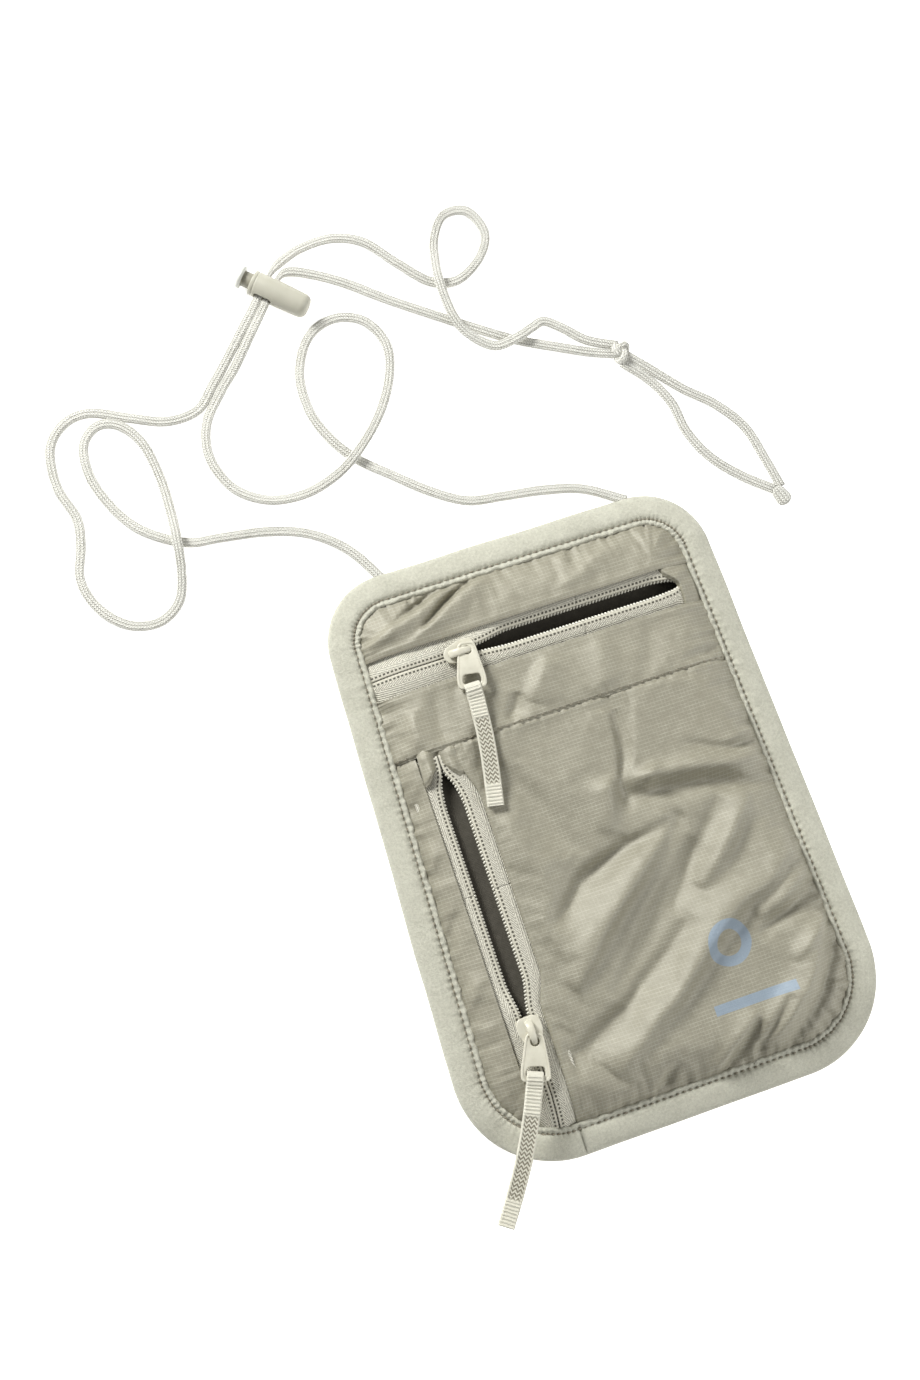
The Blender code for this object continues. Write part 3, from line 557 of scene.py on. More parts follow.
def front_edge(y):
    """The front panel's edge beside the side zip."""
    return SIDE_ZIP_X + RIGHT_LIP.seam + RIGHT_LIP.seam_bow * SIDE_ZIP.bow(y - SIDE_ZIP.slider[1])


# Meshes


def add_object(name, data):
    obj = bpy.data.objects.new(name, data)
    bpy.context.scene.collection.objects.link(obj)
    return obj


def new_object(name, vertices, faces, material, uvs=None):
    """A smooth-shaded mesh from points in mm. uvs holds one pair, in mm, for each corner of each face."""
    mesh = bpy.data.meshes.new(name)
    mesh.from_pydata((np.asarray(vertices, float) * MM).tolist(), [], faces)
    if uvs is not None:
        layer = mesh.uv_layers.new(name="UVMap")
        layer.data.foreach_set("uv", np.asarray(uvs, np.float32).ravel())
    mesh.polygons.foreach_set("use_smooth", [True] * len(mesh.polygons))
    mesh.materials.append(material)
    return add_object(name, mesh)


def grid(name, points, material, uv=None):
    """A sheet from an array of points in mm, rows by columns by 3. uv gives each point's pair in mm."""
    rows, columns = points.shape[:2]
    index = np.arange(rows * columns).reshape(rows, columns)
    corners = (index[:-1, :-1], index[:-1, 1:], index[1:, 1:], index[1:, :-1])
    faces = np.stack(corners, axis=-1).reshape(-1, 4)
    pairs = points[..., :2] if uv is None else uv
    return new_object(name, points.reshape(-1, 3), faces.tolist(), material, pairs.reshape(-1, 2)[faces])


def evaluated_mesh(obj):
    graph = bpy.context.evaluated_depsgraph_get()
    return bpy.data.meshes.new_from_object(obj.evaluated_get(graph), depsgraph=graph)


def apply_modifiers(obj):
    mesh = evaluated_mesh(obj)
    obj.modifiers.clear()
    obj.data = mesh
    return obj


def thicken(obj, thickness=FABRIC):
    """Gives a sheet its thickness below the surface that shows, and keeps the result as its mesh."""
    solidify = obj.modifiers.new("Solidify", "SOLIDIFY")
    solidify.thickness = thickness * MM
    solidify.offset = -1
    return apply_modifiers(obj)


def outward(obj, merge=0.0):
    """Turns every face outwards, after joining the points within merge metres of each other."""
    bm = bmesh.new()
    bm.from_mesh(obj.data)
    if merge:
        bmesh.ops.remove_doubles(bm, verts=bm.verts, dist=merge)
    bmesh.ops.recalc_face_normals(bm, faces=bm.faces)
    bm.to_mesh(obj.data)
    bm.free()
    return obj


def sweep(name, centres, sideways, up, sections, material, closed=False):
    """A solid swept along centres. sections is stations by points by 2: how far sideways and how far up."""
    stations, around = sections.shape[:2]
    points = centres[:, None] + sections[..., :1] * sideways[:, None] + sections[..., 1:] * up[:, None]
    lengths = run_along(np.concatenate([centres, centres[:1]]))
    girth = np.linalg.norm(np.diff(sections, axis=1, append=sections[:, :1]), axis=2).mean(axis=0)
    girths = np.concatenate([[0], np.cumsum(girth)])
    faces, uvs = [], []
    for i in range(stations if closed else stations - 1):
        here, there = i * around, (i + 1) % stations * around
        for j in range(around):
            beside = (j + 1) % around
            faces.append((here + j, there + j, there + beside, here + beside))
            uvs += [(lengths[a], girths[b]) for a, b in ((i, j), (i + 1, j), (i + 1, j + 1), (i, j + 1))]
    if not closed:
        last = (stations - 1) * around
        for ring, length in ((range(around), 0), (range(last + around - 1, last - 1, -1), lengths[-2])):
            faces.append(tuple(ring))
            uvs += [(length, girths[index % around]) for index in ring]
    return outward(new_object(name, points.reshape(-1, 3), faces, material, uvs))


def smooth_route(points, spacing):
    """Even steps along a Catmull-Rom curve through the points."""
    points = [np.array(point, float) for point in points]
    padded = [2 * points[0] - points[1], *points, 2 * points[-1] - points[-2]]
    dense = []
    for before, start, end, after in zip(padded, padded[1:], padded[2:], padded[3:]):
        for t in np.linspace(0, 1, 24, endpoint=False):
            dense.append(0.5 * (
                2 * start + (end - before) * t + (2 * before - 5 * start + 4 * end - after) * t**2
                + (3 * start - before - 3 * end + after) * t**3
            ))
    return resample(np.array([*dense, points[-1]]), spacing)


def path_frame(points, roll=0.0):
    """(sideways, up) unit vectors at each point of an open path, turned by roll radians about it."""
    tangents = unit(np.gradient(points, axis=0))
    level = unit(np.cross([0, 0, 1], tangents))
    above = np.cross(tangents, level)
    c, s = (np.reshape(each, (-1, 1)) for each in (np.cos(roll), np.sin(roll)))
    return level * c + above * s, above * c - level * s


def rounded_section(half_x, half_y, steps, power=0.8):
    """A closed superellipse."""
    c, s = np.cos(round_turn(steps)), np.sin(round_turn(steps))
    x, y = half_x * np.sign(c) * np.abs(c) ** power, half_y * np.sign(s) * np.abs(s) ** power
    return np.stack([x, y], axis=1)


def place(obj, matrix):
    """Moves a mesh made in its own space to its place in the frame. The matrix moves in mm."""
    scaled = matrix.copy()
    scaled.translation = scaled.translation * MM
    obj.data.transform(scaled)
    return obj


def plate(name, outer, holes, thickness, bevel, material):
    """A flat plate with rounded edges from an outline and holes in mm, its middle at z = 0."""
    curve = bpy.data.curves.new(name, "CURVE")
    curve.dimensions = "2D"
    curve.fill_mode = "BOTH"
    curve.extrude = (thickness / 2 - bevel) * MM
    curve.bevel_depth = bevel * MM
    curve.bevel_resolution = 2
    curve.offset = -bevel * MM
    for points in (outer, *holes):
        spline = curve.splines.new("POLY")
        spline.points.add(len(points) - 1)
        for target, (x, y) in zip(spline.points, points):
            target.co = (x * MM, y * MM, 0, 1)
        spline.use_cyclic_u = True
    guide = add_object(name, curve)
    mesh = evaluated_mesh(guide)
    bpy.data.objects.remove(guide)
    mesh.materials.clear()
    mesh.materials.append(material)
    return outward(add_object(name, mesh), merge=1e-6)


def rounded_polygon(corners, radius, steps=6):
    """The corners of a convex polygon, each rounded off."""
    points = []
    count = len(corners)
    for index in range(count):
        before, corner, after = (Vector(corners[(index + shift) % count]) for shift in (-1, 0, 1))
        inward = (before - corner).normalized(), (after - corner).normalized()
        half = inward[0].angle(inward[1]) / 2
        cut = min(radius / math.tan(half), (before - corner).length / 2, (after - corner).length / 2)
        start, end = corner + inward[0] * cut, corner + inward[1] * cut
        for step in range(steps + 1):
            t = step / steps
            points.append(tuple((start * (1 - t) + corner * t) * (1 - t) + (corner * (1 - t) + end * t) * t))
    return points


def rounded_box(x0, x1, y0, y1, radius):
    return rounded_polygon([(x0, y0), (x1, y0), (x1, y1), (x0, y1)], radius)


def turned(name, profile, material, segments=48):
    """A solid turned about the X axis from (along, radius) points that start and end on the axis."""
    rows = []
    for along, radius in profile[1:-1]:
        y, z = radius * np.cos(round_turn(segments)), radius * np.sin(round_turn(segments))
        rows.append(np.stack([np.full(segments, along), y, z], axis=1))
    vertices = [(profile[0][0], 0, 0), *np.concatenate(rows).tolist(), (profile[-1][0], 0, 0)]
    faces = []
    last = len(vertices) - 1
    for j in range(segments):
        after = (j + 1) % segments
        faces.append((0, 1 + j, 1 + after))
        for i in range(len(rows) - 1):
            here, there = 1 + i * segments, 1 + (i + 1) * segments
            faces.append((here + j, there + j, there + after, here + after))
        end = 1 + (len(rows) - 1) * segments
        faces.append((last, end + after, end + j))
    return outward(new_object(name, vertices, faces, material))


def combined(obj, other, operation="UNION"):
    """Joins or cuts obj with another mesh, which is then removed."""
    boolean = obj.modifiers.new("Boolean", "BOOLEAN")
    boolean.operation = operation
    boolean.solver = "EXACT"
    boolean.object = other
    apply_modifiers(obj)
    bpy.data.objects.remove(other)
    return obj


def soften(obj, width):
    """Rounds off a mesh's sharp edges."""
    bevel = obj.modifiers.new("Bevel", "BEVEL")
    bevel.width = width * MM
    bevel.segments = 2
    bevel.angle_limit = math.radians(35)
    apply_modifiers(obj)
    obj.data.set_sharp_from_angle(angle=math.radians(40))
    return obj


def attach(obj, body, node, slot):
    """Rides a piece on its body, and says which CAD node it stands for and whose finish it takes."""
    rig.ride(obj, body)
    if node:
        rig.replaces(obj, node)
    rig.slot(obj, slot)
    return obj


# Materials


class Value:
    """A number that varies over a surface. Arithmetic on it adds Math nodes."""

    def __init__(self, shader, socket):
        self.shader, self.socket = shader, socket

    def __add__(self, other):
        return self.shader.math("ADD", self, other)

    def __sub__(self, other):
        return self.shader.math("SUBTRACT", self, other)

    def __rsub__(self, other):
        return self.shader.math("SUBTRACT", other, self)

    def __mul__(self, other):
        return self.shader.math("MULTIPLY", self, other)

    def zigzag(self, half_period):
        """0 to half_period and back."""
        return self.shader.math("PINGPONG", self, half_period)


class Shader:
    """A material's nodes, with short calls for the ones used here."""

    def __init__(self, name, **settings):
        self.material = bpy.data.materials.new(name)
        self.material.use_nodes = True
        self.tree = self.material.node_tree
        self.bsdf = self.tree.nodes["Principled BSDF"]
        for socket, value in settings.items():
            self.bsdf.inputs[socket.replace("_", " ").title().replace("Ior", "IOR")].default_value = value

    def node(self, kind, inputs=(), **settings):
        made = self.tree.nodes.new(kind)
        for key, value in settings.items():
            setattr(made, key, value)
        for key, value in dict(inputs).items():
            self.put(made.inputs[key], value)
        return made

    def put(self, socket, value):
        if isinstance(value, Value):
            value = value.socket
        if isinstance(value, bpy.types.NodeSocket):
            self.tree.links.new(value, socket)
        else:
            socket.default_value = value

    def math(self, operation, a, b=0.0):
        return Value(self, self.node("ShaderNodeMath", {0: a, 1: b}, operation=operation).outputs[0])

    def position(self, source="Object"):
        """(the position, and its x, y and z) in mm in the frame, or along and round a piece for "UV"."""
        at = self.node("ShaderNodeTexCoord").outputs[source]
        if source == "Object":
            at = self.node("ShaderNodeVectorMath", {0: at, "Scale": 1 / MM}, operation="SCALE").outputs[0]
        return at, *(Value(self, part) for part in self.node("ShaderNodeSeparateXYZ", {0: at}).outputs)

    def noise(self, at, scale, detail=2.0, roughness=0.5):
        inputs = {"Vector": at, "Scale": scale, "Detail": detail, "Roughness": roughness}
        return Value(self, self.node("ShaderNodeTexNoise", inputs).outputs[0])

    def wave(self, value, period):
        """0 to 1 to 0 once a period."""
        return self.math("SINE", value * (2 * math.pi / period)) * 0.5 + 0.5

    def band(self, value, centre, half, edge=0.1):
        """1 within half of centre, fading to 0 over edge."""
        inputs = {0: self.math("ABSOLUTE", value - centre), 1: half, 2: half + edge, 3: 1.0, 4: 0.0}
        faded = self.node("ShaderNodeMapRange", inputs, interpolation_type="SMOOTHSTEP")
        return Value(self, faded.outputs[0])

    def blend(self, factor, dark, light):
        made = self.node("ShaderNodeMix", data_type="RGBA")
        self.put(made.inputs[0], factor)
        for socket, colour in ((6, dark), (7, light)):
            self.put(made.inputs[socket], (*colour, 1.0) if isinstance(colour, tuple) else colour)
        return made.outputs[2]

    def finish(self, colour, height, distance, strength=1.0, roughness=None):
        self.put(self.bsdf.inputs["Base Color"], colour)
        inputs = {"Height": height, "Distance": distance * MM, "Strength": strength}
        self.put(self.bsdf.inputs["Normal"], self.node("ShaderNodeBump", inputs).outputs[0])
        if roughness is not None:
            self.put(self.bsdf.inputs["Roughness"], roughness)
        return self.material


def ripstop_material():
    """A fine plain weave with heavier threads in a grid, and a printed mark on the front's lower right."""
    shader = Shader("ripstop_cloth", metallic=0.1, specular_ior_level=0.7)
    at, x, y, z = shader.position()
    across, along = (shader.band(value.zigzag(0.55), 0.0, 0.05, 0.12) for value in (x, y))
    heavy = shader.math("MAXIMUM", across * 0.55, along)
    weave = shader.wave(x, 0.26) * shader.wave(y, 0.26)
    uneven = shader.noise(at, 0.35, 3.0, 0.6)
    drawn_out = shader.node("ShaderNodeMapping", {0: at, "Scale": (0.15, 3.0, 1.0)}).outputs[0]
    slub = shader.noise(drawn_out, 1.0)
    grain = shader.noise(at, 2.6, 3.0, 0.75)
    tone = grain * 0.6 + (uneven * 0.55 + slub * 0.45) * 0.4
    colour = shader.blend(tone, (0.17, 0.154, 0.106), (0.365, 0.345, 0.265))
    colour = shader.blend(heavy * (uneven * 0.85 - 0.2), colour, (0.58, 0.56, 0.455))
    colour = shader.blend(printed_mark(shader, x, y, z) * 0.88, colour, (0.235, 0.30, 0.37))
    return shader.finish(colour, (heavy + weave) * 0.4, 0.09, 0.8, uneven * 0.12 + 0.48)


def printed_mark(shader, x, y, z):
    """A plain open ring with a bar under it, printed on the front only: a generic mark."""
    from_x, from_y = x - MARK_CENTRE[0], y - MARK_CENTRE[1]
    ring = shader.band(shader.math("SQRT", from_x * from_x + from_y * from_y), 5.6, 1.5)
    bar = shader.band(x, 26.0, 13.0) * shader.band(y, -65.0, 1.5)
    return shader.math("MAXIMUM", ring, bar) * shader.math("GREATER_THAN", z, 4.0)


def binding_material():
    """Brushed stretch binding: a soft nap over a fine knit."""
    shader = Shader(
        "binding_cloth", roughness=0.95, specular_ior_level=0.1, sheen_weight=0.25, sheen_roughness=0.6
    )
    at, *_ = shader.position()
    nap = shader.noise(at, 1.25, 6.0, 0.8)
    tone = nap * 0.8 + shader.noise(at, 0.12) * 0.2
    return shader.finish(shader.blend(tone, (0.18, 0.17, 0.12), (0.83, 0.82, 0.69)), nap, 0.4)


def shaded_lining_material():
    shader = Shader("lining_cloth", roughness=0.85, specular_ior_level=0.2)
    at, x, y, _ = shader.position()
    # Painted shade: the lining is the pouch's pale cloth, coloured near black here for the shade inside the
    # compartments.
    colour = shader.blend(shader.noise(at, 0.5), (0.06, 0.055, 0.042), (0.11, 0.10, 0.08))
    return shader.finish(colour, shader.wave(x, 0.5) * shader.wave(y, 0.5), 0.1, 0.6)


def tape_material():
    """Herringbone zip tape: u runs along it and v across it from its inner edge, beside a row of stitches."""
    shader = Shader("zip_tape", roughness=0.85, specular_ior_level=0.2, sheen_weight=0.2, sheen_roughness=0.5)
    at, u, v, _ = shader.position("UV")
    selvedge = shader.math("GREATER_THAN", 1.6, v)
    ribs = shader.wave(u + v.zigzag(3.1) * 1.5, 0.95) * (1.0 - selvedge)
    row = shader.band(v, 1.05, 0.24) * shader.band(u.zigzag(0.62), 0.0, 0.3)
    line = shader.band(v, 0.0, 0.05, 0.12)
    tone = ribs * 0.42 + (shader.noise(at, 1.9, 4.0, 0.75) * 1.5 - 0.42)
    colour = shader.blend(tone, (0.13, 0.115, 0.075), (0.92, 0.89, 0.76))
    colour = shader.blend(selvedge * 0.4, colour, (0.74, 0.71, 0.59))
    # Painted shade: a dark line along the tape's inner edge, where it meets the other tape or the coil.
    colour = shader.blend(line * 0.6, colour, (0.14, 0.125, 0.09))
    # Painted shade: the stitch row's dashes are near black for the shade in the stitch holes, not for the thread's
    # colour.
    colour = shader.blend(row * 0.9, colour, (0.05, 0.045, 0.032))
    return shader.finish(colour, ribs - row * 1.2, 0.2, 0.9)


def coil_material():
    shader = Shader("zip_coil", roughness=0.45, specular_ior_level=0.45)
    at, *_ = shader.position()
    colour = shader.blend(shader.noise(at, 1.1, 3.0), (0.66, 0.635, 0.53), (0.84, 0.82, 0.72))
    return shader.finish(colour, shader.noise(at, 6.0), 0.03, 0.5)


def metal_material():
    """Die-cast metal under a satin lacquer, slightly worn and uneven."""
    shader = Shader("lacquered_metal", specular_ior_level=0.5, coat_weight=0.15, coat_roughness=0.35)
    at, *_ = shader.position()
    cast = shader.noise(at, 1.6, 4.0, 0.6)
    colour = shader.blend(shader.noise(at, 0.45), (0.50, 0.475, 0.375), (0.66, 0.635, 0.53))
    return shader.finish(colour, cast, 0.05, 0.6, cast * 0.25 + 0.28)


def ribbon_material():
    """Narrow woven ribbon: u runs along it and v across. Where open_weave is 1, it is an open zigzag whose gaps are
    painted dark as the shade seen through them.
    """
    shader = Shader(
        "ribbon_weave", roughness=0.85, specular_ior_level=0.2, sheen_weight=0.15, sheen_roughness=0.5
    )
    at, u, v, _ = shader.position("UV")
    threads = shader.wave(u, 0.42) * shader.wave(v, 0.3)
    tone = threads * 0.4 + shader.noise(at, 2.2, 3.0) * 0.6
    colour = shader.blend(tone, (0.55, 0.525, 0.42), (0.80, 0.78, 0.68))
    holes = shader.math("GREATER_THAN", shader.wave(u + v.zigzag(0.75) * 1.3, 1.35), 0.52)
    shaded_gaps = holes * shader.node("ShaderNodeAttribute", attribute_name="open_weave").outputs["Fac"]
    # Painted shade: the open weave's gaps are coloured dark where the shade below would show through.
    colour = shader.blend(shaded_gaps * 0.85, colour, (0.16, 0.14, 0.095))
    return shader.finish(colour, threads - shaded_gaps, 0.14, 0.8)


def cord_material():
    """Knitted tubular cord: columns of small V stitches along it, with gutters between the columns painted darker as
    shade.
    """
    shader = Shader(
        "braided_cord", roughness=0.9, specular_ior_level=0.15, sheen_weight=0.3, sheen_roughness=0.5
    )
    at, u, v, _ = shader.position("UV")
    in_column = v.zigzag(0.5)
    stitches = shader.wave(u + in_column * 1.2, 0.85)
    shaded_gutter = shader.band(in_column, 0.0, 0.05, 0.14)
    tone = stitches * 0.4 + shader.noise(at, 1.9, 4.0, 0.7) * 0.6
    colour = shader.blend(tone, (0.46, 0.445, 0.37), (1.0, 0.99, 0.93))
    # Painted shade in the gutters between the columns, varied by noise.
    colour = shader.blend(shaded_gutter * (shader.noise(at, 0.18) * 1.1 - 0.15), colour, (0.26, 0.24, 0.18))
    return shader.finish(colour, stitches - shaded_gutter, 0.25, 0.9)


def plastic_material(name, dark, light, rough):
    """Moulded plastic with a fine spark-eroded grain."""
    shader = Shader(name, specular_ior_level=0.45)
    at, *_ = shader.position()
    grain = shader.noise(at, 5.0, 3.0, 0.6)
    colour = shader.blend(shader.noise(at, 0.25), dark, light)
    return shader.finish(colour, grain, 0.035, 0.5, grain * 0.16 + rough)


def steel_material():
    shader = Shader("spring_steel", metallic=1.0)
    at, *_ = shader.position()
    drawn = shader.noise(at, 3.0, 3.0)
    colour = shader.blend(drawn, (0.42, 0.42, 0.43), (0.66, 0.66, 0.67))
    return shader.finish(colour, drawn, 0.02, 0.4, drawn * 0.2 + 0.22)


def shaded_thread_material():
    shader = Shader("stitch_thread", roughness=0.8, specular_ior_level=0.2)
    _, u, v, _ = shader.position("UV")
    twist = shader.wave(u + v, 0.35)
    # Painted shade: the thread has the cloth's pale colour, and is coloured dark for the shade of the grooves and
    # stitch holes it sinks into.
    return shader.finish(shader.blend(twist, (0.16, 0.145, 0.105), (0.36, 0.33, 0.26)), twist, 0.06, 0.6)


# Panels


def panel_points(low, high, left, right, columns, rows, height):
    """A panel's grid of points, closer together at its edges. left and right give x at each y."""
    even_u, even_v = np.linspace(0, 1, columns), np.linspace(0, 1, rows)
    u, v = (mix(each, (1 - np.cos(np.pi * each)) / 2, 0.6) for each in (even_u, even_v))
    y = np.repeat(mix(low, high, v)[:, None], columns, axis=1)
    x = mix(left(y), right(y), u[None])
    return np.stack([x, y, height(x, y)], axis=-1)


def settle(obj, points, slack, frames):
    """Lets a panel buckle: a cloth simulation of a slightly too large sheet held all round its edge."""
    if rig.quick():
        return
    rows, columns = points.shape[:2]
    row, column = np.meshgrid(np.arange(rows), np.arange(columns), indexing="ij")
    in_from_edge = np.minimum.reduce([row, column, rows - 1 - row, columns - 1 - column])
    pin = obj.vertex_groups.new(name="pin")
    for index, depth in enumerate(in_from_edge.ravel().tolist()):
        if depth < 5:
            pin.add([index], 1 - depth / 5, "REPLACE")
    obj.data.transform(Matrix.Scale(SIMULATED_SIZE, 4))
    modifier = obj.modifiers.new("Cloth", "CLOTH")
    cloth = modifier.settings
    cloth.quality = 6
    cloth.mass = 0.3
    cloth.tension_stiffness = cloth.compression_stiffness = 20
    cloth.shear_stiffness = 8
    cloth.bending_stiffness = 1.5
    cloth.air_damping = 6
    cloth.vertex_group_mass = "pin"
    cloth.shrink_min = -slack
    cloth.effector_weights.gravity = 0
    modifier.point_cache.frame_start, modifier.point_cache.frame_end = 1, frames
    for moment in range(1, frames + 1):
        bpy.context.scene.frame_set(moment)
    apply_modifiers(obj)
    obj.vertex_groups.clear()
    obj.data.transform(Matrix.Scale(1 / SIMULATED_SIZE, 4))
    bpy.context.scene.frame_set(1)


def sew_in(name, node, cloth, points, slack=0.0, frames=0):
    """A fabric panel from its surface, buckled where it has slack. Its flat size comes from that surface."""
    obj = grid(name, points, cloth)
    if slack:
        settle(obj, points, slack, frames)
    attach(thicken(obj), "pouch", node, "ripstop_cloth")
    width, length = (float(np.ptp(points[..., axis])) * MM for axis in (0, 1))
    across, along = np.diff(points, axis=1)[:-1], np.diff(points, axis=0)[:, :-1]
    area = float(np.linalg.norm(np.cross(across, along), axis=2).sum()) * MM * MM
    scale = math.sqrt(max(area / (width * length), 1.0))
    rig.sheet(obj, flat=(width * scale, length * scale), held="stretched", rests_on=["binding_band"],
             area=min(area, width * length * scale * scale))


def build_front(cloth):
    """The main front panel. Its top runs under the header, and its left edge turns under beside the zip."""

    def height(x, y):
        from_zip, below = x - front_edge(y), HEADER_SEAM - y
        z = folded_height(x, y, MAIN_FOLDS, 11.0, 1.0, from_zip)
        z += seam_pucker(below, x, 31.0, 0.9, 2.6, 1.3) * smooth(below / 1.2)
        z -= 0.55 * (1 - smooth(below / 1.1))
        over = np.maximum(z - RIBBON_CLEARANCE, 0)
        z -= (over - 0.35 * (1 - np.exp(-over / 0.35))) * smooth((y - 8) / 5)
        return z + 0.25 - 0.6 * np.exp(-from_zip / 0.6)

    points = panel_points(FOOT, HEADER_SEAM + SEAM_UNDER, front_edge, half_width, 150, 170, height)
    sew_in("front_cloth", "front_panel", cloth, points, slack=0.007, frames=14)


def build_side(cloth):
    """The strip left of the side zip. Its top runs under the header too."""

    def side_edge(y):
        return np.full(np.shape(y), SIDE_EDGE)

    def height(x, y):
        z = folded_height(x, y, SIDE_FOLDS, 17.0, 0.6, SIDE_EDGE - x)
        below = HEADER_SEAM - y
        z += seam_pucker(below, x, 37.0, 0.4, 4)
        return z - 0.75 * (1 - smooth(below / 2.2)) + hem(SIDE_EDGE - x, 0.25)

    points = panel_points(SIDE_PANEL_FOOT, HEADER_SEAM + SEAM_UNDER, left_seam, side_edge, 36, 170, height)
    sew_in("side_cloth", "side_panel", cloth, points)


def header_surface(x, y, from_zip):
    return folded_height(x, y, HEADER_FOLDS, 23.0, 0.7, from_zip)


def header_pucker(above, x):
    return seam_pucker(above, x, 41.0, 0.5, 2.2, 1.3)


def build_header(cloth):
    """The strip between the seams. Its lower edge lies over the panels, drawn up by its stitches."""

    def height(x, y):
        above, to_zip = y - HEADER_SEAM, HEADER_EDGE - y
        z = header_surface(x, y, to_zip) + 0.35 - 0.5 * (1 - smooth(above / 0.7))
        z += header_pucker(above, x) * smooth((above + 0.2) / 1.2)
        return z + seam_pucker(to_zip, x, 43.0, 0.22, 2.6, 1.5) + hem(to_zip, 0.2)

    points = panel_points(HEADER_SEAM - 0.4, HEADER_EDGE, left_seam, half_width, 210, 50, height)
    x, y = points[..., 0], points[..., 1]
    y += 0.45 * noise_at(x / 1.5, 0, 83.0) * np.exp(-np.maximum(y - HEADER_SEAM, 0) / 0.9)
    y += 0.35 * noise_at(x / 2.4, 0, 89.0) * np.exp(-(HEADER_EDGE - y) / 0.9)
    sew_in("header_cloth", "header_strip", cloth, points, slack=0.003, frames=10)


def build_header_stitches(thread):
    """The row that holds the strip's folded edge down, left out where the side zip's end folds lie."""
    x = np.arange(float(left_seam(HEADER_SEAM)) + 1.5, float(half_width(HEADER_SEAM)) - 1.5, 2.3)
    x = x[(x < SIDE_ZIP_X - 9) | (x > SIDE_ZIP_X + 8)]
    y = HEADER_SEAM + 0.35 + 0.15 * noise_at(x / 3, 0, 87.0)
    z = header_surface(x, y, np.full(len(x), 10.0)) + header_pucker(0.35, x) + 0.32
    lengths = 1.3 + 0.3 * noise_at(x / 2, 0, 91.0)
    ahead = np.array([1.0, 0.0, 0.0])
    rows = [(np.array(centre), ahead, length, 0.2) for *centre, length in zip(x, y, z, lengths)]
    build_stitches("header_stitches", rows, thread)


def build_top(cloth):
    """The panel above the top zip."""

    def height(x, y):
        above = y - TOP_EDGE
        z = folded_height(x, y, TOP_FOLDS, 29.0, 0.7, above)
        return z + hem(above, 0.35) + seam_pucker(above, x, 47.0, 0.15, 3)

    points = panel_points(TOP_EDGE, TOP, left_seam, half_width, 160, 44, height)
    sew_in("top_cloth", "top_panel", cloth, points, slack=0.003, frames=10)


def build_back(cloth):
    """The back lies on the table, with a little slack in it."""

    def height(x, y):
        inward, along = inward_of(x, y)
        slack = 0.27 * noise_at(x / 19, y / 24, 53.0) * smooth(inward / 6)
        return np.maximum(0.95 + slack + seam_pucker(inward, along, 59.0, 0.25, 4), 0.65)

    points = panel_points(FOOT, TOP, left_seam, half_width, 110, 140, height)
    sew_in("back_cloth", "back_panel", cloth, points)


def build_lining(lining):
    """The divider behind the pocket, carried on over the back as the compartment's inside, coloured dark as painted
    shade.
    """

    def height(x, y):
        front = front_height(x, y)
        divider, back = (np.clip(front - 3.4, 1.7, most) for most in (6.1, 2.2))
        slack = 0.3 * noise_at(x / 14, y / 14, 61.0) * smooth((front - 5) / 3)
        return mix(divider, back, smooth((y - 38) / 14)) + slack

    points = panel_points(FOOT, TOP, left_seam, half_width, 70, 90, height)
    lining_piece = thicken(grid("compartment_lining", points, lining), 0.4)
    attach(lining_piece, "pouch", "divider_lining", "lining_cloth")


# Binding and stitches

# (distance in from the edge, height): over the top from the edge, round the inner rim and back below
BINDING_PROFILE = [
    (0, 1.5), (0.1, 2.2), (0.45, 2.8), (1.1, 3.25), (2.2, 3.7), (3.6, 4.1), (5, 4.45), (6.2, 4.65),
    (7.1, 4.6), (7.65, 4.35), (8.05, 4.0), (8.4, 4.2), (8.7, 4.65), (9.1, 4.95), (9.55, 4.9), (9.9, 4.5),
    (10.05, 4.0), (10.0, 3.2), (9.9, 2.2), (9.9, 1.3), (10.1, 0.75), (9.9, 0.25), (9.3, 0.08), (8.7, 0.3),
    (8.2, 0.55), (7.6, 0.3), (6.2, 0.08), (4.2, 0.02), (2.3, 0.1), (1, 0.3), (0.3, 0.8),
]


